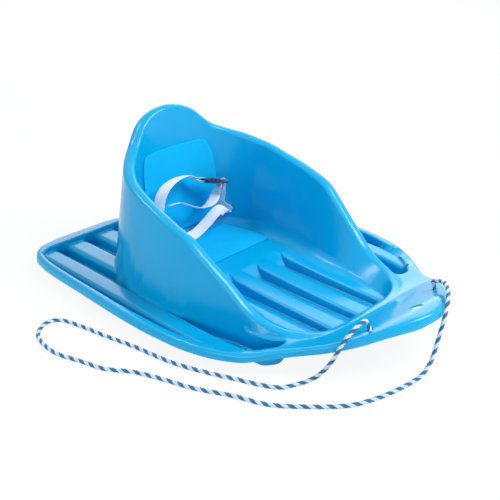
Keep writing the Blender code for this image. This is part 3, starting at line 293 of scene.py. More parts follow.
def nearest(points, line):
    """Distance of plan points to a plan line, the segment they are nearest, the place on it."""
    a = line[:-1, :2]
    d = line[1:, :2] - a
    rel = points[:, None, :] - a[None]
    t = np.clip((rel * d).sum(2) / np.maximum((d * d).sum(1), 1e-12), 0.0, 1.0)
    gap = np.linalg.norm(rel - t[..., None] * d, axis=2)
    k = np.argmin(gap, axis=1)
    rows = np.arange(len(points))
    return gap[rows, k], k, t[rows, k]


def gap_to(points, line):
    """Distance of plan points to a plan line."""
    return nearest(points, line)[0]


def inside(points, ring):
    """Which plan points lie inside a closed ring."""
    x, y = points[:, 0][:, None], points[:, 1][:, None]
    x0, y0 = ring[:, 0], ring[:, 1]
    x1, y1 = np.roll(x0, -1), np.roll(y0, -1)
    spans = (y0 > y) != (y1 > y)
    rise = np.where(np.abs(y1 - y0) < 1e-12, 1e-12, y1 - y0)
    return (spans & (x < x0 + (y - y0) * (x1 - x0) / rise)).sum(1) % 2 == 1


def depth_in(points, line, ring):
    """How far plan points lie within a line and its ring, 0 for those outside."""
    return np.where(inside(points, ring), gap_to(points, line), 0.0)


def closed(ring):
    """A ring with its first point again at its end."""
    return np.vstack([ring, ring[:1]])


def closed_half(line):
    """A half outline made a ring that reaches past the middle."""
    ends = [[(PAST_MIDDLE, line[k, 1])] for k in (0, -1)]
    return np.vstack([ends[0], line[:, :2], ends[1]])


def lengths(points):
    """Length of a line up to each of its points."""
    return np.concatenate([[0], np.cumsum(np.linalg.norm(np.diff(points, axis=0), axis=1))])


def shifted(line, distance):
    """A plan line moved to its right by a distance, one value or one for each point."""
    t = np.gradient(line[:, :2], axis=0)
    t /= np.linalg.norm(t, axis=1)[:, None]
    out = line[:, :2] + np.column_stack([t[:, 1], -t[:, 0]]) * np.reshape(distance, (-1, 1))
    out[np.abs(line[:, 0]) < 1e-6, 0] = 0.0
    return out


# Wall sections

def step_ends(depth, wall):
    """Where the parts of a wall's section start: top arc, wall, foot arc, floor."""
    top, foot, draft = wall
    s, c = math.sin(math.radians(draft)), math.cos(math.radians(draft))
    share = np.minimum(1.0, depth / ((top + foot) * (1 - s)))
    top, foot = top * share, foot * share
    straight = np.maximum(depth - (top + foot) * (1 - s), 0.0)
    e1 = top * c
    e2 = e1 + straight * s / c
    return top, foot, e1, e2, e2 + foot * c, top * (1 - s)


def step_fall(e, depth, wall):
    """How far a drafted wall with rounded ends has fallen, e past its edge."""
    slope = math.tan(math.radians(wall[2]))
    top, foot, e1, e2, e3, z1 = step_ends(depth, wall)
    e = np.clip(e, 0.0, e3)
    arc = top - np.sqrt(np.maximum(top ** 2 - e ** 2, 0.0))
    line = z1 + (e - e1) / slope
    base = depth - foot + np.sqrt(np.maximum(foot ** 2 - (e3 - e) ** 2, 0.0))
    return np.where(e < e1, arc, np.where(e < e2, line, base))


def step_breaks(depth, wall):
    """Distances past a wall's edge where its section needs points."""
    top, foot, e1, e2, e3, _ = step_ends(depth, wall)
    span = math.radians(90.0 - wall[2])
    sines = [math.sin(span * k / ARC_POINTS) for k in range(ARC_POINTS)]
    breaks = [top * sine for sine in sines] + [e1, e2]
    if np.max(foot) > 0:
        breaks += [e3 - foot * sine for sine in sines[::-1]]
    return [b + 0 * e3 for b in breaks]


# Heights of the sheet, from plan points of the half with x >= 0

CREST = smooth(SEAT_RIM, 5.0)
RIM = smooth(OUTLINE, 6.0)
RIM_RING = closed_half(RIM)
INNER_EDGE = smooth(POCKET, 5.0)
INNER_RING = closed_half(INNER_EDGE)
CREST_RING = closed_half(CREST)
WING = smooth(RIB_WING, 5.0)
RIBS = [WING] + [np.array([(a, REAR), (a, y), (b, y), (b, REAR)]) for a, b, y in DECK_RIBS]


def soft_max(a, b, blend):
    """The greater of two heights with a fillet, as wide as the blend, where they meet."""
    near = np.maximum(blend - np.abs(a - b), 0.0)
    return np.maximum(a, b) + near ** 2 / np.maximum(4 * blend, 1e-9)


def plateau(p):
    """Level of the rim and of the nose apron."""
    y, rise, crown = np.array(RIM_RISE)[::-1].T
    rise, crown = [smooth_lookup(p[:, 1], y, heights) for heights in (rise, crown)]
    order = np.argsort(RIM[:, 1])
    half = np.interp(p[:, 1], RIM[order, 1], RIM[order, 0])
    across = np.clip(np.abs(p[:, 0]) / np.maximum(half, CROWN_HALF), 0.0, 1.0)
    return RIM_TOP + rise + crown * (1 - across ** 4)


def smooth_lookup(at, x, y):
    """Value of a smooth curve through (x, y) with flat ends."""
    slope = np.gradient(y, x)
    slope[0] = slope[-1] = 0.0
    at = np.clip(at, x[0], x[-1])
    k = np.clip(np.searchsorted(x, at) - 1, 0, len(x) - 2)
    h = x[k + 1] - x[k]
    t = (at - x[k]) / h
    return (y[k] * (1 + 2 * t) * (1 - t) ** 2 + slope[k] * h * t * (1 - t) ** 2
            + y[k + 1] * t * t * (3 - 2 * t) + slope[k + 1] * h * t * t * (t - 1))


def rib_level(p, ring):
    """One deck rib standing on the groove floor."""
    gap = gap_to(p, closed(ring))
    e = np.maximum(np.where(inside(p, ring), -gap, gap) + RIB_EDGE_IN, 0.0)
    return RIB_TOP - step_fall(e, RIB_TOP - WALL, RIB_WALL)


def ribs_level(p):
    """Groove floors with the deck ribs on them."""
    return np.max([rib_level(p, ring) for ring in RIBS], axis=0)


def deck(p):
    """Everything outside the seat: the rim's wall comes down on the ribs and the grooves."""
    e = depth_in(p, INNER_EDGE, INNER_RING)
    level = plateau(p)
    return level - step_fall(e, level - ribs_level(p), RIM_WALL)


def floor_heights(y):
    """Heights of the seat floor with its rib tops, and of the groove floors, along the sled."""
    places, top, low = np.array(FLOOR_LINE).T
    return np.interp(y, places, top), np.interp(y, places, low)


def footwell(p):
    """Seat floor with the footwell grooves cut into it."""
    level, low = floor_heights(p[:, 1])
    e = FOOT_GROOVE / 2 - np.min([np.abs(np.abs(p[:, 0]) - c) for c in FOOT_GROOVES], axis=0)
    return level - step_fall(e, np.maximum(level - low, 1e-6), GROOVE_WALL)


def on_crest(p):
    """Distance inward from the seat rim's crest, with the values of the rim there."""
    gap, k, t = nearest(p, CREST)
    side = np.where(inside(p, CREST_RING), 1.0, -1.0)
    value = CREST[k] + (CREST[k + 1] - CREST[k]) * t[:, None]
    return gap * side, value


def seat_section(height, run, foot_level):
    """Inner section of the seat rim: end of the band, of the wall, and the fillet."""
    angle = np.full_like(height, math.radians(80.0))
    for _ in range(SECTION_ROUNDS):
        x0 = BAND_HALF * np.sin(angle)
        z0 = height - BAND_DEPTH * (1 - np.cos(angle))
        radius = SEAT_FILLET * (run - BAND_HALF)
        dx, dz = run - x0, foot_level + radius - z0
        reach = np.hypot(dx, dz)
        phi = np.arctan2(dz, dx) - np.arcsin(np.clip(radius / reach, 0.0, 0.999))
        angle = np.arctan(-np.tan(phi) * BAND_HALF / BAND_DEPTH)
    x1 = x0 + np.sqrt(np.maximum(reach ** 2 - radius ** 2, 0.0)) * np.cos(phi)
    return x0, z0, x1, radius, np.tan(phi)


def outer_section(height, ground):
    """Outer section of the seat rim: end of the band, of the wall, of the fillet on the ground."""
    slope = math.tan(math.radians(SEAT_DRAFT))
    s, c = math.sin(math.radians(SEAT_DRAFT)), math.cos(math.radians(SEAT_DRAFT))
    angle = math.atan(BAND_HALF / BAND_DEPTH / slope)
    x0 = BAND_HALF * math.sin(angle)
    z0 = height - BAND_DEPTH * (1 - math.cos(angle))
    ground = np.minimum(ground, z0 - FOOT_RADIUS * (1 - s))
    x1 = x0 + (z0 - ground - FOOT_RADIUS * (1 - s)) * slope
    return x0, z0, x1, x1 + FOOT_RADIUS * c, ground


def fillet_rise(radius, short):
    """Height of a fillet over the ground, a distance short of its end."""
    return radius - np.sqrt(np.maximum(radius ** 2 - np.maximum(short, 0.0) ** 2, 0.0))


def inner_foot(y, low):
    """Height where the seat rim's inner half ends, from the rib tops (0) to the grooves (1)."""
    return (1 - low) * floor_heights(y)[0] + low * WALL


def band_level(height, d):
    """Rounded top of the seat rim, at a distance from its crest."""
    return height - BAND_DEPTH * (1 - np.sqrt(np.clip(1 - (d / BAND_HALF) ** 2, 0.0, 1.0)))


def ridge_within(p, d, value):
    """The seat rim's inner half: band, wall and fillet on the floor, and then steeply down."""
    height, run, low = value[:, 2], value[:, 3], value[:, 4]
    foot = inner_foot(p[:, 1], low)
    x0, z0, x1, radius, slope = seat_section(height, run, foot)
    wall = np.where(d < x1, z0 + slope * (d - x0), foot + fillet_rise(radius, run - d))
    level = np.where(d < x0, band_level(height, d), wall)
    return np.where(d > run, foot - FALL_AWAY * (d - run), level)


def ridge_beyond(out, value, ground):
    """The seat rim's outer half: band, drafted wall and fillet on the deck."""
    height = value[:, 2]
    x0, z0, x1, x2, ground = outer_section(height, ground)
    wall = z0 - (out - x0) / math.tan(math.radians(SEAT_DRAFT))
    wall = np.where(out < x1, wall, ground + fillet_rise(FOOT_RADIUS, x2 - out))
    return np.where(out < x0, band_level(height, out), wall)


def seams(p):
    """Both surfaces that make the sheet at a place, and the fillet between them."""
    d, value = on_crest(p)
    within = d > 0
    base = np.where(within, footwell(p), deck(p))
    seat = np.where(within, ridge_within(p, d, value), ridge_beyond(-d, value, base))
    high = base - outer_section(value[:, 2], base)[4]
    low = value[:, 4]
    grown, sunk, risen = [np.clip(rise / CREASE_RISE, 0, 1)
                          for rise in (high, base - WALL, floor_heights(p[:, 1])[0] - base)]
    inner = low * sunk + (1 - low) * risen
    return base, seat, CREASE_BLEND * np.where(within, inner, grown)


def ridge(p):
    """The seat's rounded rim with its outer and inner walls."""
    return seams(p)[1]


def body(p):
    """The sheet before its outer edge is rolled down."""
    return soft_max(*seams(p))


def rim_run():
    """Plan width of the rolled edge."""
    return float(step_ends(np.array(RIM_SKIRT), SKIRT_WALL)[3])


def sheet(p):
    """Top surface of the formed sheet."""
    p = np.column_stack([np.abs(p[:, 0]), p[:, 1]])
    e = rim_run() - depth_in(p, RIM, RIM_RING)
    return body(p) - step_fall(e, np.array(RIM_SKIRT), SKIRT_WALL)


def sheet_point(x, y):
    """Point and unit normal of the sheet at a plan place."""
    s = NORMAL_REACH
    z = sheet(np.array([(x, y), (x + s, y), (x - s, y), (x, y + s), (x, y - s)], float))
    normal = Vector((-(z[1] - z[2]) / (2 * s), -(z[3] - z[4]) / (2 * s), 1.0)).normalized()
    return Vector((x, y, z[0])), normal


# Plan mesh of the sheet

def owned(line, own):
    """Runs of a plan line where its own surface is the top one, with their end points."""
    fine = [line[0]]
    for a, b in zip(line[:-1], line[1:]):
        count = max(1, int(np.linalg.norm(b - a) / SEARCH_STEP))
        fine += [a + (b - a) * k / count for k in range(1, count + 1)]
    fine = np.array(fine)
    best = body(fine) - own(fine) < SHOWS
    turns = np.nonzero(best[1:] != best[:-1])[0]
    good = np.where(best[turns][:, None], fine[turns], fine[turns + 1])
    bad = np.where(best[turns][:, None], fine[turns + 1], fine[turns])
    for _ in range(HALVINGS if len(turns) else 0):
        middle = (good + bad) / 2
        passed = (body(middle) - own(middle) < SHOWS)[:, None]
        good, bad = np.where(passed, middle, good), np.where(passed, bad, middle)
    ends = dict(zip(turns, good))
    original = {tuple(q) for q in line}
    runs, run = [], []
    for k, q in enumerate(fine):
        if k - 1 in ends:
            run.append(ends[k - 1])
            if not best[k]:
                runs.append(run)
                run = []
        if best[k] and tuple(q) in original:
            run.append(q)
    if run:
        runs.append(run)
    return [np.array(r) for r in runs if len(r)]


def standing_on(level, surface):
    """A surface where the ribs and grooves under it are at a level, and nothing elsewhere."""
    return lambda q: np.where(np.abs(surface(q) - level) < SAME_LEVEL, body(q), -WALL)


def wall_lines():
    """Plan lines along every wall, each with the surface that it belongs to."""
    lines = []
    for level in (WALL, RIB_TOP):
        depth = plateau(INNER_EDGE) - level
        for e in step_breaks(depth, RIM_WALL):
            lines.append((shifted(INNER_EDGE, e), standing_on(level, ribs_level)))
    for e in step_breaks(np.array(RIB_TOP - WALL), RIB_WALL):
        e -= RIB_EDGE_IN
        lines.append((shifted(WING, e), partial(rib_level, ring=WING)))
        for (a, b, y), ring in zip(DECK_RIBS, RIBS[1:]):
            own = partial(rib_level, ring=ring)
            lines += [(np.array([(x, REAR), (x, y)]), own) for x in (a - e, b + e) if x > 0]
    return lines


def foot_lines():
    """Plan lines along the footwell grooves, with closer points on their ramps."""
    y = np.concatenate([np.arange(-250.0, -10.0, 30.0), np.arange(-8.0, 31.0, 3.0),
                        [34.0, 42.0, 60.0]])
    level, low = floor_heights(y)
    breaks = step_breaks(np.maximum(level - low, 0.02), GROOVE_WALL)
    lines = [np.column_stack([centre + side * (FOOT_GROOVE / 2 - e), y])
             for centre in FOOT_GROOVES for side in (-1, 1) for e in breaks]
    return [(line, footwell) for line in lines if np.max(line[:, 0]) > 0]


def ridge_lines():
    """Plan lines along the seat rim, from its outer foot to its inner one."""
    height, run, low = CREST[:, 2:].T
    foot = inner_foot(shifted(CREST, run)[:, 1], low)
    x0, _, x1, radius, _ = seat_section(height, run, foot)
    turn = np.arccos(np.clip((run - x1) / radius, -1, 1))
    band = [math.sin(math.radians(a)) for a in (0, 18, 36, 52, 66, 78)]
    inner = [x0 * b / band[-1] for b in band] + [x0 + (x1 - x0) * k / 4 for k in (1, 2, 3, 4)]
    inner += [run - radius * np.cos(turn + (math.pi / 2 - turn) * k / 9) for k in range(1, 10)]
    outer = []
    for level in (WALL, RIB_TOP):
        o0, _, o1, o2, _ = outer_section(height, np.full(len(CREST), level))
        away = [o0 + (o1 - o0) * k / 3 for k in (1, 2, 3)]
        away += [o2 - (o2 - o1) * math.cos(math.radians(a)) for a in (25, 50, 70, 90)]
        outer += [(shifted(CREST, -d), standing_on(level, deck)) for d in away]
    outer += [(shifted(CREST, -o0 * b / band[-1] + 0 * run), ridge) for b in band[1:]]
    return [(shifted(CREST, d), ridge) for d in inner] + outer


def plan_runs():
    """All plan lines that follow the sheet's features."""
    runs = [shifted(RIM, rim_run() - e)
            for e in step_breaks(np.array(RIM_SKIRT), SKIRT_WALL)][::-1]
    middle = np.arange(RIM[-1, 1] + MIDDLE_STEP, RIM[0, 1] - MIDDLE_STEP / 2, MIDDLE_STEP)
    runs.append(np.column_stack([0 * middle, middle]))
    for line in ridge_lines():
        runs += owned(*line)
    for line in wall_lines():
        runs += [r for r in owned(*line) if not inside(r, CREST_RING).all()]
    for line in foot_lines():
        runs += [r for r in owned(*line) if inside(r + 1e-6, CREST_RING).any()]
    return runs


def grid(x, y, step):
    """Plan points on a square grid over two spans."""
    return np.array([(a, b) for b in np.arange(*y, step) for a in np.arange(*x, step)])


def loose_points():
    """Plan points on the crowned apron and along the creases between surfaces."""
    wide, fine = [q[depth_in(q, RIM, RIM_RING) > WIDE_GRID]
                  for q in (grid((0.0, 210.0), (-372.0, -170.0), WIDE_GRID),
                            grid((0.0, 272.0), (-260.0, 372.0), FINE_GRID))]
    base, seat, blend = seams(fine)
    return np.vstack([wide[~inside(wide, CREST_RING)],
                      fine[np.abs(base - seat) < CREASE_REACH * blend]])


def hole_rings():
    """Plan rings of the holes in the half sheet: rope hole, belt slot and nose hole."""
    rings = []
    for hole, radius in ((ROPE_HOLE, ROPE_HOLE_DIA / 2), (NOSE_HOLE, NOSE_HOLE_DIA / 2)):
        turns = np.linspace(0, math.tau, HOLE_SIDES, endpoint=False)
        rings.append((hole, [(radius * math.cos(a), radius * math.sin(a)) for a in turns]))
    corner = BELT_SLOT_CORNER
    half, wide = BELT_SLOT_LENGTH / 2 - corner, BELT_SLOT_WIDTH / 2 - corner
    ring = []
    for sx, sy in ((1, 1), (-1, 1), (-1, -1), (1, -1)):
        start = math.atan2(sy, sx) - math.pi / 4
        ring += [(sx * half + corner * math.cos(a), sy * wide + corner * math.sin(a))
                 for a in (start + math.pi / 6 * k for k in range(4))]
    rings.append((BELT_SLOT, ring))
    places = [(frame_at(*sheet_point(*hole)), ring) for hole, ring in rings]
    return [np.array([(place @ Vector((*q, 0)))[:2] for q in ring]) for place, ring in places]


class PlanMesh:
    """Plan points and edges, with points closer than a tolerance made one."""

    def __init__(self, near):
        self.near, self.places, self.edges, self.cells = near, [], [], {}

    def point(self, x, y):
        """Number of the point at a plan place."""
        i, j = int(x // self.near), int(y // self.near)
        for a in (i - 1, i, i + 1):
            for b in (j - 1, j, j + 1):
                for k in self.cells.get((a, b), ()):
                    if math.dist(self.places[k], (x, y)) < self.near:
                        return k
        self.places.append((x, y))
        self.cells.setdefault((i, j), []).append(len(self.places) - 1)
        return len(self.places) - 1

    def run(self, points):
        """Add a line of points as edges."""
        ids = [self.point(float(x), float(y)) for x, y in points]
        self.edges += [(a, b) for a, b in zip(ids[:-1], ids[1:]) if a != b]


def half_sheet():
    """Plan triangulation of the half sheet that keeps its features as edges."""
    rings = hole_rings()
    plan = PlanMesh(POINTS_APART)
    for ring in rings[:1] + rings[2:]:
        plan.run(closed(ring))
    nose = rings[1][rings[1][:, 0] > -1e-6]
    nose = nose[np.argsort(nose[:, 1])]
    nose[0, 0] = nose[-1, 0] = 0.0
    plan.run(nose)
    rings[1] = nose
    for run in plan_runs():
        run = np.column_stack([np.maximum(run[:, 0], 0.0), run[:, 1]])[run[:, 0] > -1e-6]
        if len(run) < 2:
            continue
        keep = inside(run - (1e-7, 0), RIM_RING) | (gap_to(run, RIM) < CLEAR_OF_LINE)
        for ring in rings:
            keep &= ~inside(run, ring) & (gap_to(run, closed(ring)) > CLEAR_OF_LINE)
        parts = np.split(np.arange(len(run)), np.nonzero(np.diff(keep.astype(int)))[0] + 1)
        for part in parts:
            if keep[part[0]]:
                plan.run(run[part, :2])
    loose = loose_points()
    known = np.array(plan.places)
    far = np.array([np.min(np.hypot(*(known - q).T)) > LOOSE_APART for q in loose])
    for ring in rings:
        far &= ~inside(loose, ring)
    for x, y in loose[far]:
        plan.point(x, y)
    out = delaunay_2d_cdt([Vector(q) for q in plan.places], plan.edges, [], 0, PLAN_NEAR)
    pts = np.array([tuple(v) for v in out[0]])
    tris = np.array(out[2])
    middle = pts[tris].mean(axis=1)
    keep = inside(middle, RIM_RING)
    for ring in rings:
        keep &= ~inside(middle, ring)
    return pts, tris[keep]


# Meshes

def with_settings(made, settings):
    """A node, modifier, lamp or camera with its settings made."""
    for key, value in settings.items():
        setattr(made, key, value)
    return made


def linked(name, data):
    """An object of that data in the scene."""
    made = bpy.data.objects.new(name, data)
    bpy.context.scene.collection.objects.link(made)
    return made


def new_piece(name, verts, faces, slot, body_name="sled"):
    """A piece of the sled from points in millimetres, riding on a body if one is named."""
    mesh = bpy.data.meshes.new(name)
    mesh.from_pydata([tuple(c * MM for c in v) for v in verts], [], faces)
    mesh.update()
    made = linked(name, mesh)
    mesh.materials.append(material_of(slot))
    if body_name:
        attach(made, body_name)
    return made


def tag(piece, name, values):
    """A vector attribute on the piece's points."""
    layer = piece.data.attributes.new(name, "FLOAT_VECTOR", "POINT")
    layer.data.foreach_set("vector", np.array(values, float).ravel())


def smooth_shaded(piece, angle):
    """Smooth shading that keeps edges sharp from an angle in degrees."""
    piece.data.shade_smooth()
    piece.data.set_sharp_from_angle(angle=math.radians(angle))


def modify(piece, name, kind, **settings):
    """Give the piece one more modifier."""
    with_settings(piece.modifiers.new(name, kind), settings)


def bake(piece):
    """Make the piece's modifiers part of its mesh."""
    bpy.context.view_layer.update()
    shown = piece.evaluated_get(bpy.context.evaluated_depsgraph_get())
    mesh = bpy.data.meshes.new_from_object(shown)
    piece.modifiers.clear()
    piece.data = mesh


def rework(piece, change):
    """Change the piece's mesh with a function of its bmesh."""
    made = bmesh.new()
    made.from_mesh(piece.data)
    change(made)
    made.to_mesh(piece.data)
    made.free()


def face_along(way):
    """A change of a mesh that turns its faces to look along a direction."""
    def change(made):
        for face in made.faces:
            face.normal_update()
            if face.normal.dot(way) < 0:
                face.normal_flip()
    return change


def axes_at(point, x, z):
    """Axes at a point from the directions of X and Z."""
    return Matrix.Translation(point) @ Matrix((x, z.cross(x), z)).transposed().to_4x4()


def frame_at(point, normal):
    """Axes with Z along a normal and X level, at a point."""
    side = Vector((0, 0, 1)).cross(normal)
    return axes_at(point, (side - normal * side.dot(normal)).normalized(), normal)


def surface_tree(piece):
    """The piece's surface for laying other pieces on it, in millimetres."""
    mesh = piece.data
    verts = [v.co / MM for v in mesh.vertices]
    return BVHTree.FromPolygons(verts, [tuple(f.vertices) for f in mesh.polygons])


def resampled(line, step):
    """A line with points an even step apart, and their places along it."""
    along = lengths(line[:, :3])
    marks = np.linspace(0, along[-1], max(2, int(round(along[-1] / step)) + 1))
    return np.column_stack([np.interp(marks, along, values) for values in line.T]), marks


def tube_faces(first, rings, sides):
    """Faces of a tube with closed ends, whose rings of points start at a number."""
    faces = []
    for start in range(first, first + (rings - 1) * sides, sides):
        for j in range(sides):
            a, b = start + j, start + (j + 1) % sides
            faces.append((a, b, b + sides, a + sides))
    last = first + (rings - 1) * sides
    return faces + [tuple(range(first, first + sides))[::-1], tuple(range(last, last + sides))]


# Materials

def linear(code):
    """Linear colour of an sRGB hex value."""
    parts = [int(code[k:k + 2], 16) / 255 for k in (0, 2, 4)]
    return tuple(c / 12.92 if c <= 0.04045 else ((c + 0.055) / 1.055) ** 2.4 for c in parts)


def per_metre(size_mm):
    """Scale of a pattern whose repeat has a size in millimetres."""
    return 1000.0 / size_mm


def feed(tree, made, inputs):
    """Feed a node's inputs: a value, a socket, or a node for its first output."""
    for key, value in inputs.items():
        if isinstance(value, bpy.types.Node):
            value = value.outputs[0]
        if isinstance(value, bpy.types.NodeSocket):
            tree.links.new(value, made.inputs[key])
        else:
            made.inputs[key].default_value = value


def add_node(tree, kind, inputs=None, **settings):
    """A node with its settings and what feeds its inputs."""
    made = with_settings(tree.nodes.new("ShaderNode" + kind), settings)
    feed(tree, made, inputs or {})
    return made


def ink(name):
    """A colour of the sled's settings."""
    return (*getattr(bpy.context.scene.sled_colours, name), 1.0)


def formed_polyethylene(node):
    """Vacuum-formed high-density polyethylene sheet."""
    place = node("TexCoord").outputs["Object"]
    # Drawing the hot sheet over the mould leaves it a little thinner and paler in places
    cloud = node("TexNoise", {"Vector": place, "Scale": per_metre(90.0), "Detail": 2.0,
                              "Roughness": 0.5})
    tint = node("MixRGB", {"Fac": cloud, "Color1": ink("shell_deep"), "Color2": ink("shell")})
    # Sharp bends are drawn lighter: the sheet whitens where it is stretched, and a painted
    # highlight lies along the edges
    bend = node("NewGeometry").outputs["Pointiness"]
    lighter_edges = node("MapRange", {"Value": bend, "From Min": 0.52, "From Max": 0.62,
                             "To Min": 0.0, "To Max": 0.22})
    edge = node("MixRGB", {"Fac": lighter_edges, "Color1": tint, "Color2": ink("shell_stretch_and_highlight")})
    # The sheet is satin glossy, with a gloss that wanders over a hand's width
    gloss = node("TexNoise", {"Vector": place, "Scale": per_metre(40.0), "Detail": 3.0,
                              "Roughness": 0.6})
    rough = node("MapRange", {"Value": gloss, "From Min": 0.3, "From Max": 0.7,
                              "To Min": 0.15, "To Max": 0.22})
    # Slow waves from cooling, and the fine orange peel of the sheet's skin
    wave = node("TexNoise", {"Vector": place, "Scale": per_metre(80.0), "Detail": 1.0,
                             "Roughness": 0.4})
    waves = node("Bump", {"Height": wave, "Strength": 0.2, "Distance": 0.001})
    peel = node("TexNoise", {"Vector": place, "Scale": per_metre(2.6), "Detail": 2.0,
                             "Roughness": 0.5})
    skin = node("Bump", {"Height": peel, "Strength": 0.12, "Distance": 0.0001, "Normal": waves})
    return {"Base Color": edge, "Roughness": rough, "Normal": skin, "IOR": 1.54,
            "Specular IOR Level": 0.26}


def closed_cell_foam(node):
    """Cut sheet of closed-cell polyethylene foam."""
    place = node("TexCoord").outputs["Object"]
    # Cells of about a millimetre, drawn at two so that they show, give it a soft mottle
    cells = node("TexVoronoi", {"Vector": place, "Scale": per_metre(2.0)})
    tint = node("MixRGB", {"Fac": cells, "Color1": ink("foam"), "Color2": ink("foam_cell")})
    # Soft sheet keeps slow dents, and open pores where it was cut
    dent = node("TexNoise", {"Vector": place, "Scale": per_metre(30.0), "Detail": 2.0,
                             "Roughness": 0.5})
    dents = node("Bump", {"Height": dent, "Strength": 0.5, "Distance": 0.0015})
    pores = node("Bump", {"Height": cells, "Strength": 0.4, "Distance": 0.0002, "Normal": dents})
    return {"Base Color": tint, "Normal": pores, "Roughness": 0.78, "IOR": 1.4,
            "Specular IOR Level": 0.25}


def woven_webbing(node):
    """Flat polypropylene webbing, woven plain."""
    pitch = bpy.context.scene.sled_sizes.weave_pitch / MM
    lie = node("Attribute", attribute_name="lie").outputs["Vector"]
    split = node("SeparateXYZ", {"Vector": lie}).outputs
    # Yarns 1.1 mm apart are drawn at the weave pitch, so that the ribs of the weave show
    along = node("Math", {0: split["X"], 1: math.tau / pitch}, operation="MULTIPLY")
    across = node("Math", {0: split["Y"], 1: math.pi / pitch}, operation="MULTIPLY")
    pick = node("Math", {0: along}, operation="SINE")
    rib = node("Math", {0: across}, operation="COSINE")
    weave = node("Math", {0: pick, 1: rib}, operation="MULTIPLY")
    bump = node("Bump", {"Height": weave, "Strength": 0.7, "Distance": 0.0004})
    # The weave's hollows are drawn in a darker colour: painted shade
    shade = node("MapRange", {"Value": weave, "From Min": -1.0, "From Max": 1.0,
                              "To Min": 0.0, "To Max": 1.0})
    tint = node("MixRGB", {"Fac": shade, "Color1": ink("web_valley_shade"), "Color2": ink("webbing")})
    return {"Base Color": tint, "Normal": bump, "Roughness": 0.7, "Sheen Weight": 0.6}


def moulded_acetal(node):
    """Injection-moulded acetal with a fine spark-eroded grain."""
    place = node("TexCoord").outputs["Object"]
    # Grain of the mould, which breaks up the highlight
    grain = node("TexNoise", {"Vector": place, "Scale": per_metre(0.6), "Detail": 3.0,
                              "Roughness": 0.6})
    bump = node("Bump", {"Height": grain, "Strength": 0.25, "Distance": 0.0001})
    # Sharp edges are drawn a little lighter
    bend = node("NewGeometry").outputs["Pointiness"]
    lighter_edges = node("MapRange", {"Value": bend, "From Min": 0.5, "From Max": 0.65,
                             "To Min": 0.0, "To Max": 0.35})
    tint = node("MixRGB", {"Fac": lighter_edges, "Color1": ink("buckle"), "Color2": ink("buckle_edge")})
    return {"Base Color": tint, "Normal": bump, "Roughness": 0.36, "IOR": 1.48}


def laid_polypropylene(node):
    """Twisted polypropylene rope of blue and white strands."""
    strand = node("Attribute", attribute_name="strand").outputs["Vector"]
    parts = node("SeparateXYZ", {"Vector": strand}).outputs
    tint = node("MixRGB", {"Fac": parts["X"], "Color1": ink("rope_blue"),
                           "Color2": ink("rope_white")})
    # Fibres 0.3 mm apart, drawn at three quarters of a millimetre, run along each strand
    wave = node("Math", {0: parts["Y"], 1: 12.0}, operation="MULTIPLY")
    fibre = node("Math", {0: wave}, operation="SINE")
    # The grooves between the fibres are drawn darker: painted shade
    fibre_shade = node("MapRange", {"Value": fibre, "From Min": -1.0, "From Max": 1.0,
                             "To Min": 0.82, "To Max": 1.0})
    shade = node("MixRGB", {"Fac": 1.0, "Color1": tint, "Color2": fibre_shade}, blend_type="MULTIPLY")
    bump = node("Bump", {"Height": fibre, "Strength": 0.5, "Distance": 0.0002})
    return {"Base Color": shade, "Normal": bump, "Roughness": 0.55, "Sheen Weight": 0.2}


# Finish of each slot: its name, and the function that returns what feeds the shader
MATERIALS = {
    "shell": ("vacuum-formed blue polyethylene", formed_polyethylene),
    "foam": ("cut blue closed-cell foam", closed_cell_foam),
    "webbing": ("plain-woven white polypropylene webbing", woven_webbing),
    "buckle": ("moulded near-black acetal", moulded_acetal),
    "rope": ("twisted blue and white polypropylene rope", laid_polypropylene),
}


def new_material(name):
    """A new material, its tree and its shader."""
    made = bpy.data.materials.new(name)
    made.use_nodes = True
    return made, made.node_tree, made.node_tree.nodes["Principled BSDF"]


def material_of(slot):
    """The finish of a slot, made when it is first asked for."""
    name, finish = MATERIALS[slot]
    made = bpy.data.materials.get(name)
    if made is None:
        made, tree, shader = new_material(name)
        feed(tree, shader, finish(partial(add_node, tree)))
    return made


# Properties

def colour(name, code, description):
    """A colour property with an sRGB hex default."""
    return FloatVectorProperty(name=name, description=description, subtype="COLOR", size=3,
                               min=0.0, max=1.0, default=linear(code))


class SledColours(bpy.types.PropertyGroup):
    """Colours of the sled."""

    shell: colour("Shell", "00a8dc", "Formed sheet where it is thin")
    shell_deep: colour("Shell, deep", "009ed6", "Formed sheet where it is thick")
    # Colour of sharp bends: stretch whitening and a painted highlight
    shell_stretch_and_highlight: colour("Shell edges", "55c6f2", "Stretched edges of the sheet")
    foam: colour("Foam", "00b9ee", "Foam pads")
    foam_cell: colour("Foam cells", "00aee8", "Cell walls of the foam")
    webbing: colour("Webbing", "ffffff", "Raised yarns of the webbing")
    # Painted shade in the hollows of the weave
    web_valley_shade: colour("Webbing, low", "e8ebf8", "Yarns that dip under")
    buckle: colour("Buckle", "06264a", "Buckle and strap stops")
    # Colour drawn on the buckle's sharp edges
    buckle_edge: colour("Buckle edges", "1d4d7c", "Rubbed edges of the buckle")
    rope_blue: colour("Rope, blue", "0476b0", "Blue strands of the rope")
    rope_white: colour("Rope, white", "e2f8ff", "White strands of the rope")
    floor: colour("Floor", "f4f6f8", "Studio floor")


class SledSizes(bpy.types.PropertyGroup):
    """Sizes of the soft pieces that only the eye needs."""

    weave_pitch: FloatProperty(name="Weave pitch", description="Repeat of the drawn weave",
                               default=0.0022, min=0.0005, max=0.01, unit="LENGTH")
    web_crown: FloatProperty(name="Webbing crown",
                             description="How much thinner webbing is at its edges",
                             default=0.0003, min=0.0, max=0.0006, unit="LENGTH")
    rope_lay: FloatProperty(name="Rope lay", description="Length of one turn of a strand",
                            default=0.0192, min=0.01, max=0.08, unit="LENGTH")
    rope_strands: IntProperty(name="Rope strands", description="Strands twisted together",
                              default=4, min=2, max=8)


# Rope

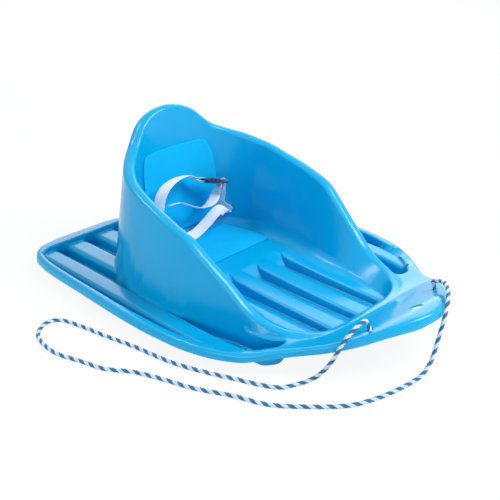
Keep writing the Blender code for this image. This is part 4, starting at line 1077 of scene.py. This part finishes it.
def carried_sides(ahead):
    """A direction across a line at each of its points, with the least turning about it."""
    side = np.cross(ahead[0], (0.0, 0.0, 1.0))
    if np.linalg.norm(side) < 0.1:
        side = np.cross(ahead[0], (1.0, 0.0, 0.0))
    sides = []
    for t in ahead:
        side = side - t * (side @ t)
        side /= np.linalg.norm(side)
        sides.append(side)
    return np.array(sides)


def twisted_piece(name, node, points, radius):
    """Strands twisted round a line, tagged with their colour, as a piece for a CAD node."""
    sizes = bpy.context.scene.sled_sizes
    strands, lay = sizes.rope_strands, sizes.rope_lay / MM
    ahead = np.gradient(points, axis=0)
    ahead /= np.linalg.norm(ahead, axis=1)[:, None]
    sides_at = carried_sides(ahead)
    up = np.cross(ahead, sides_at)
    along = lengths(points)
    thick = STRAND_SHARE * radius
    out = radius - thick
    verts, faces, tags = [], [], []
    for k in range(strands):
        turn = math.tau * (along / lay + k / strands)
        centre = points + out * (np.cos(turn)[:, None] * sides_at + np.sin(turn)[:, None] * up)
        faces += tube_faces(len(verts), len(points), STRAND_SIDES)
        for i in range(len(points)):
            for j in range(STRAND_SIDES):
                round_it = math.tau * j / STRAND_SIDES
                a = turn[i] + round_it
                verts.append(centre[i] + thick * (math.cos(a) * sides_at[i] + math.sin(a) * up[i]))
                tags.append((2 * k // strands % 2, round_it, along[i]))
    piece = new_piece(name, verts, faces, "rope")
    tag(piece, "strand", tags)
    smooth_shaded(piece, SHARP["rope"])
    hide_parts(node)
    return piece


def node_centre(node):
    """Middle of a CAD node's box."""
    low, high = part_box(node)
    return (Vector(low) + Vector(high)) / 2 / MM


def rope_line():
    """Centreline of the rope from knot to knot."""
    ends = []
    for side, node in ((-1, "near_knot"), (1, "far_knot")):
        hole, up = sheet_point(side * ROPE_HOLE[0], ROPE_HOLE[1])
        ends.append([node_centre(node) + up * (KNOT_DIA / 2 + GAP)]
                    + [hole + up * height for height in ROPE_STRAIGHT])
    route = ends[0] + [Vector(p) for p in ROPE_ROUTE] + ends[1][::-1]
    line = smooth([tuple(p) for p in route], ROPE_CURVE)
    line[:, 2] = np.maximum(line[:, 2], ROPE_DIA / 2 + ROPE_OFF_FLOOR)
    return resampled(line, ROPE_STEP)[0]


def overhand_knot(node, side):
    """Stopper knot of the rope's own strands, tied under the nose."""
    place = frame_at(node_centre(node), sheet_point(side * ROPE_HOLE[0], ROPE_HOLE[1])[1])
    wide, deep = KNOT_LOOP
    turns = np.linspace(0, math.tau, KNOT_POINTS, endpoint=False)
    loop = [(wide * (math.sin(t) + 2 * math.sin(2 * t)),
             wide * (math.cos(t) - 2 * math.cos(2 * t)), -deep * math.sin(3 * t)) for t in turns]
    loop = closed(np.array([tuple(place @ Vector(p)) for p in loop]))
    return twisted_piece(node + "_tied", node, loop, ROPE_DIA / 2 * KNOT_TIGHT)


class SLED_OT_rope(bpy.types.Operator):
    """Pull rope on the floor with its stopper knots"""

    bl_idname = "sled.rope"
    bl_label = "Pull rope and knots"

    def execute(self, context):
        line = rope_line()
        piece = twisted_piece("pull_rope_laid", "pull_rope", line, ROPE_BOLD * ROPE_DIA / 2)
        knots = [overhand_knot("near_knot", -1), overhand_knot("far_knot", 1)]
        return {"FINISHED"}


# Shell

def evened(away, edges):
    """Offsets of the sheet's underside, each drawn towards those beside it."""
    pairs = np.array([tuple(pair) for pair in edges])
    pairs = pairs[pairs.max(axis=1) < len(away)]
    pairs = np.vstack([pairs, pairs[:, ::-1]])
    beside = np.bincount(pairs[:, 0], minlength=len(away))[:, None]
    for _ in range(EVEN_ROUNDS):
        total = np.zeros_like(away)
        np.add.at(total, pairs[:, 0], away[pairs[:, 1]])
        away = (away + total / beside) / 2
    return away


class SLED_OT_shell(bpy.types.Operator):
    """Formed shell: half a sheet, mirrored and given its thickness"""

    bl_idname = "sled.shell"
    bl_label = "Formed shell"

    def execute(self, context):
        pts, tris = half_sheet()
        verts = [(x, y, z) for (x, y), z in zip(pts, sheet(pts))]
        piece = new_piece("formed_shell", verts, tris.tolist(), "shell")
        rework(piece, face_along(Vector((0, 0, 1))))
        modify(piece, "Other half", "MIRROR", merge_threshold=1e-5)
        modify(piece, "Sheet thickness", "SOLIDIFY", thickness=WALL * MM, offset=-1.0,
               use_even_offset=True, use_quality_normals=True)
        bake(piece)
        count = len(piece.data.vertices) // 2
        flat = np.empty(count * 6)
        piece.data.vertices.foreach_get("co", flat)
        top, low = flat.reshape(2, count, 3)
        away = evened(low - top, [edge.vertices for edge in piece.data.edges])
        size = np.linalg.norm(away, axis=1, keepdims=True)
        least, most = [share * WALL * MM for share in THICKNESS_SHARE]
        away *= np.clip(size, least, most) / size
        low[:] = top + away
        low[:, 2] = np.maximum(low[:, 2], 0.0)
        piece.data.vertices.foreach_set("co", flat)
        piece.data.update()
        smooth_shaded(piece, SHARP["shell"])
        modify(piece, "Flat faces lead", "WEIGHTED_NORMAL", keep_sharp=True)
        bake(piece)
        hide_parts("shell")
        return {"FINISHED"}


# Pads

def rounded(outline, radius, step):
    """A closed outline of straight edges with its corners rounded."""
    points = [Vector(q) for q in outline]
    ring = []
    for before, corner, after in zip(points[-1:] + points[:-1], points, points[1:] + points[:1]):
        back, ahead = (before - corner).normalized(), (after - corner).normalized()
        reach = min(radius / math.tan(back.angle(ahead) / 2), radius)
        start, end = corner + back * reach, corner + ahead * reach
        ring += [start * (1 - t) ** 2 + corner * 2 * t * (1 - t) + end * t * t
                 for t in (0, 0.2, 0.4, 0.6, 0.8, 1)]
    out = []
    for a, b in zip(ring, ring[1:] + ring[:1]):
        count = max(1, round((b - a).length / step))
        out += [tuple(a + (b - a) * k / count) for k in range(count)]
    return np.array(out)


def pad(name, node, outline, corner, cast):
    """A foam sheet laid on the shell: an outline in plan or in front view."""
    step = PAD_STEP
    ring = rounded(outline, corner, PAD_EDGE_STEP)
    xs = np.arange(ring[:, 0].min() + step / 2, ring[:, 0].max(), step)
    ys = np.arange(ring[:, 1].min() + step / 2, ring[:, 1].max(), step)
    within = np.array([(x, y) for x in xs for y in ys])
    within = within[depth_in(within, closed(ring), ring) > step * PAD_CLEAR]
    flat = np.vstack([ring, within])
    edges = [(k, (k + 1) % len(ring)) for k in range(len(ring))]
    out = delaunay_2d_cdt([Vector(q) for q in flat], edges, [], 1, PLAN_NEAR)
    verts = [cast(v.x, v.y) for v in out[0]]
    piece = new_piece(name, verts, [tuple(f) for f in out[2]], "foam")
    rework(piece, face_along(Vector(PAD_FACES)))
    modify(piece, "Foam thickness", "SOLIDIFY", thickness=PAD * MM, offset=1.0,
           use_even_offset=True)
    modify(piece, "Cut edge", "BEVEL", width=PAD_BEVEL * MM, segments=2, limit_method="ANGLE",
           angle_limit=math.radians(50))
    bake(piece)
    smooth_shaded(piece, SHARP["foam"])
    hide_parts(node)


def laid(tree, origin, direction):
    """A point just off the shell's surface, found along a direction."""
    hit = tree.ray_cast(origin, direction, CAST_REACH)[0]
    return hit + sheet_point(hit.x, hit.y)[1] * GAP * PAD_OFF


class SLED_OT_pads(bpy.types.Operator):
    """Seat pad and back pad of thin foam"""

    bl_idname = "sled.pads"
    bl_label = "Foam pads"

    def execute(self, context):
        tree = surface_tree(bpy.data.objects["formed_shell"])
        down, back = Vector((0, 0, -1)), Vector((0, 1, 0))
        pad("seat_pad_foam", "seat_pad", SEAT_PAD, SEAT_CORNER,
            lambda x, y: laid(tree, Vector((x, y, CAST_FROM)), down))
        pad("back_pad_foam", "back_pad", BACK_PAD, BACK_CORNER,
            lambda x, z: laid(tree, Vector((x, CAST_FROM, z)), back))
        return {"FINISHED"}


# Belt

def slot_frames():
    """Axes of the two belt slots on the sheet, and at the face of the stop behind each."""
    frames = []
    for side, node in ((-1, "near_strap_stop"), (1, "far_strap_stop")):
        point, normal = sheet_point(side * BELT_SLOT[0], BELT_SLOT[1])
        front = frame_at(point, normal)
        depth = (point - node_centre(node)).dot(normal) - STOP_THICK / 2
        frames.append((front, front @ Matrix.Translation((0, 0, -depth))))
    return frames


def buckle_frame():
    """Axes of the buckle: X from the plug's strap end to the socket's, Z out of its face."""
    u = Vector(BUCKLE_AXIS).normalized()
    return axes_at(Vector(BUCKLE_AT), u, u.cross(Vector(BUCKLE_WIDE)).normalized())


BUCKLE_FRAME = buckle_frame()
BUCKLE_ACROSS = BUCKLE_FRAME.to_3x3() @ Vector((0, 1, 0))


def on_buckle(x, z):
    """Station of webbing at a place of the buckle's own frame."""
    return BUCKLE_FRAME @ Vector((x, 0, z)), BUCKLE_ACROSS


def wrap(x, half, back, apart):
    """Stations of webbing round a bar, from above it to below, on the plug's side of it."""
    radius = math.hypot(LOCK_BAR / 2, half) + GAP + WEB_THICK / 2 + WEB_SLACK
    turns = [math.radians(90 + 30 * k) for k in range(7)]
    arc = [on_buckle(x + radius * math.cos(t), radius * math.sin(t)) for t in turns]
    return [on_buckle(x + back, apart)] + arc + [on_buckle(x + back, -apart)]


def over_bar(x, radius):
    """Stations of webbing up one slot, over the bar and down the next one."""
    top = PLUG_THICK / 2 - LOCK_SUNK
    turns = [math.radians(180 - 30 * k) for k in range(7)]
    return [on_buckle(x + radius * math.cos(t), top + radius * math.sin(t)) for t in turns]


def free(rows):
    """Stations of webbing from rows of a place and, or else the buckle's, a width direction."""
    return [(Vector(row[:3]), Vector(row[3:]) if row[3:] else BUCKLE_ACROSS) for row in rows]


def webbing(name, node, stations, body_name="sled"):
    """Webbing with a crowned section through stations of a point and a width direction."""
    line, along = resampled(smooth([(*p, *w) for p, w in stations], WEB_CURVE), WEB_STEP)
    crown = bpy.context.scene.sled_sizes.web_crown / MM
    half, thick = WEB / 2, WEB_THICK / 2
    section = WEB_EDGE + [(-x, -z) for x, z in WEB_EDGE]
    points = [Vector(q[:3]) for q in line]
    verts, tags = [], []
    for k, q in enumerate(line):
        ahead = points[min(k + 1, len(points) - 1)] - points[max(k - 1, 0)]
        ahead.normalize()
        wide = Vector(q[3:])
        wide = (wide - ahead * wide.dot(ahead)).normalized()
        out = wide.cross(ahead)
        for x, z in section:
            level = z * (thick - crown * abs(x) ** 3)
            verts.append(points[k] + wide * (x * half) + out * level)
            tags.append((along[k], x * half, z))
    faces = tube_faces(0, len(line), len(section))
    piece = new_piece(name, verts, faces, "webbing", body_name)
    rework(piece, lambda made: bmesh.ops.recalc_face_normals(made, faces=made.faces))
    tag(piece, "lie", tags)
    smooth_shaded(piece, SHARP["webbing"])
    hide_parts(node)
    return piece


def lap_straps():
    """Near strap to the socket, far strap through the plug, and the strap in the crease."""
    frames = slot_frames()
    stack = WEB_THICK / 2 + WEB_STACK
    (near, near_end), (far, far_end) = [
        (front, back @ Matrix.Translation((0, 0, 2 * GAP))) for front, back in frames]
    near_way, far_way = [front.to_3x3() @ Vector((1, 0, 0)) for front in (near, far)]
    end = PLUG_BASE + SOCKET_LENGTH
    webbing("near_lap_webbing", "near_lap_strap", [
        (near_end @ Vector((0, stack, 0)), -near_way),
        (near @ Vector((0, stack, 6)), -near_way),
        (near @ Vector((2, stack + 12, 13)), Vector((-0.5, -0.85, 0))),
        *free(NEAR_RISE),
        on_buckle(end + 22, 3.4),
        *wrap(end - LOCK_BAR / 2, SOCKET_BAR / 2, 9.0, 1.9),
        on_buckle(end + 12, -1.6)])
    slot_out = LOCK_BAR + LOCK_SLOT / 2
    slot_in = 2 * LOCK_BAR + LOCK_SLOT * 1.5
    under = -PLUG_THICK / 2
    far_piece = webbing("far_lap_webbing", "far_lap_strap", [
        (far_end @ Vector((0, stack, 0)), far_way),
        (far @ Vector((0, stack, 6)), far_way),
        (far @ Vector((1, stack + 7, 13)), far_way),
        *free(FAR_RISE),
        on_buckle(slot_out, under - 6),
        on_buckle(slot_out, under),
        *over_bar((slot_out + slot_in) / 2, (slot_in - slot_out) / 2),
        on_buckle(slot_in, under),
        on_buckle(slot_in + 1.0, under - 7),
        *free(FAR_DROP + FAR_TAIL)], None)
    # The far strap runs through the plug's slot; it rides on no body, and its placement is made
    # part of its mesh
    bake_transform(far_piece)
    webbing("crease_webbing", "crease_strap", [
        (near_end @ Vector((0, -stack, 0)), -near_way),
        (near @ Vector((0, -stack, 7)), -near_way),
        *free(CREASE_RUN),
        (far @ Vector((0, -stack, 7)), -far_way),
        (far_end @ Vector((0, -stack, 0)), -far_way)])


class SLED_OT_belt(bpy.types.Operator):
    """Lap belt webbing: near strap, far strap and the strap in the crease"""

    bl_idname = "sled.belt"
    bl_label = "Lap belt webbing"

    def execute(self, context):
        lap_straps()
        return {"FINISHED"}


class SLED_OT_buckle(bpy.types.Operator):
    """Side-release buckle and the bars behind the belt slots"""

    bl_idname = "sled.buckle"
    bl_label = "Buckle and strap stops"

    def execute(self, context):
        for node in ("buckle_socket", "buckle_plug", "rear_latch_arm", "front_latch_arm",
                     "near_strap_stop", "far_strap_stop"):
            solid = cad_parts[node]
            for place in solid.material_slots:
                place.material = material_of("buckle")
        return {"FINISHED"}


# Studio

def area_light(name, place, aim, size, power):
    """A soft rectangular lamp that points at a place, in metres and watts."""
    data = with_settings(bpy.data.lights.new(name, "AREA"), {
        "shape": "RECTANGLE", "size": size[0], "size_y": size[1], "energy": power})
    made = linked(name, data)
    made.location = place
    made.rotation_mode = "QUATERNION"
    made.rotation_quaternion = (Vector(aim) - Vector(place)).to_track_quat("-Z", "Y")


def seen_share(node):
    """1 for a ray of the camera, also through glass or off gloss, and 0 for light's own."""
    rays = node("LightPath").outputs
    plain = node("Math", {0: rays["Is Camera Ray"], 1: rays["Is Glossy Ray"]},
                 operation="MAXIMUM")
    return node("Math", {0: plain, 1: rays["Is Transmission Ray"]}, operation="MAXIMUM")


def studio_floor():
    """Pale floor that shows white to the camera and keeps a soft shadow."""
    mesh = bpy.data.meshes.new("studio_floor")
    corners = [(x * FLOOR_HALF, y * FLOOR_HALF, 0) for x, y in ((-1, -1), (1, -1), (1, 1), (-1, 1))]
    mesh.from_pydata(corners, [], [(0, 1, 2, 3)])
    floor = linked("studio_floor", mesh)
    floor.location.z = -FLOOR_DROP
    made, tree, shader = new_material("matt white studio floor")
    node = partial(add_node, tree)
    feed(tree, shader, {"Base Color": ink("floor"), "Roughness": 0.9, "Specular IOR Level": 0.0})
    white = node("Emission", {"Color": (1, 1, 1, 1), "Strength": 1.0})
    share = node("Math", {0: seen_share(node), 1: FLOOR_WHITE}, operation="MULTIPLY")
    feed(tree, tree.nodes["Material Output"],
         {"Surface": node("MixShader", {"Fac": share, 1: shader, 2: white})})
    mesh.materials.append(made)


def studio_world():
    """Even soft light, and a plain white ground for the camera."""
    world = bpy.data.worlds.new("studio")
    bpy.context.scene.world = world
    world.use_nodes = True
    tree = world.node_tree
    node = partial(add_node, tree)
    ground = tree.nodes["Background"]
    feed(tree, ground, {"Color": (1, 1, 1, 1), "Strength": 1.0})
    split = node("SeparateXYZ", {"Vector": node("TexCoord").outputs["Generated"]}).outputs
    level = node("MapRange", {"Value": split["Z"], "From Min": -0.1, "From Max": 0.9,
                              "To Min": SKY[0], "To Max": SKY[1]})
    light = node("Background", {"Color": (1, 1, 1, 1), "Strength": level})
    feed(tree, tree.nodes["World Output"],
         {"Surface": node("MixShader", {"Fac": seen_share(node), 1: light, 2: ground})})


def camera():
    """The photograph's camera."""
    a, e = math.radians(CAMERA_ROUND), math.radians(CAMERA_UP)
    back = Vector((math.sin(a) * math.cos(e), -math.cos(a) * math.cos(e), math.sin(e)))
    right = Vector((math.cos(a), math.sin(a), 0))
    data = with_settings(bpy.data.cameras.new("photo_camera"), {
        "sensor_width": SENSOR, "lens": CAMERA_LENS, "clip_start": CLIP[0], "clip_end": CLIP[1]})
    made = linked("photo_camera", data)
    made.matrix_world = axes_at((Vector(CAMERA_AIM) + back * CAMERA_FAR) * MM, right, back)
    bpy.context.scene.camera = made


class SLED_OT_stage(bpy.types.Operator):
    """Camera of the photograph, white floor and soft studio light"""

    bl_idname = "sled.stage"
    bl_label = "Studio"

    def execute(self, context):
        context.scene.view_settings.view_transform = "Standard"
        camera()
        studio_floor()
        studio_world()
        for lamp in LAMPS:
            area_light(*lamp)
        return {"FINISHED"}


class SLED_PT_panel(bpy.types.Panel):
    """Sizes, colours and steps of the sled"""

    bl_idname = "SLED_PT_panel"
    bl_label = "Toddler pull sled"
    bl_space_type = "VIEW_3D"
    bl_region_type = "UI"
    bl_category = "Sled"

    def draw(self, context):
        for group in (context.scene.sled_colours, context.scene.sled_sizes):
            box = self.layout.box()
            for name in group.bl_rna.properties.keys():
                if name not in ("rna_type", "name"):
                    box.prop(group, name)
        for step in STEPS:
            self.layout.operator(step.bl_idname)


STEPS = (SLED_OT_stage, SLED_OT_rope, SLED_OT_shell, SLED_OT_pads, SLED_OT_belt, SLED_OT_buckle)
CLASSES = (SledColours, SledSizes, *STEPS, SLED_PT_panel)


def register():
    """Make the classes known and hang the settings on the scene."""
    for made in CLASSES:
        bpy.utils.register_class(made)
    bpy.types.Scene.sled_colours = PointerProperty(type=SledColours)
    bpy.types.Scene.sled_sizes = PointerProperty(type=SledSizes)


def unregister():
    """Take the settings and classes away."""
    del bpy.types.Scene.sled_sizes
    del bpy.types.Scene.sled_colours
    for made in reversed(CLASSES):
        bpy.utils.unregister_class(made)


def main():
    """Build everything."""
    register()
    bpy.ops.sled.stage()
    bpy.ops.sled.rope()
    bpy.ops.sled.shell()
    bpy.ops.sled.pads()
    bpy.ops.sled.belt()
    bpy.ops.sled.buckle()


if __name__ == "__main__":
    main()
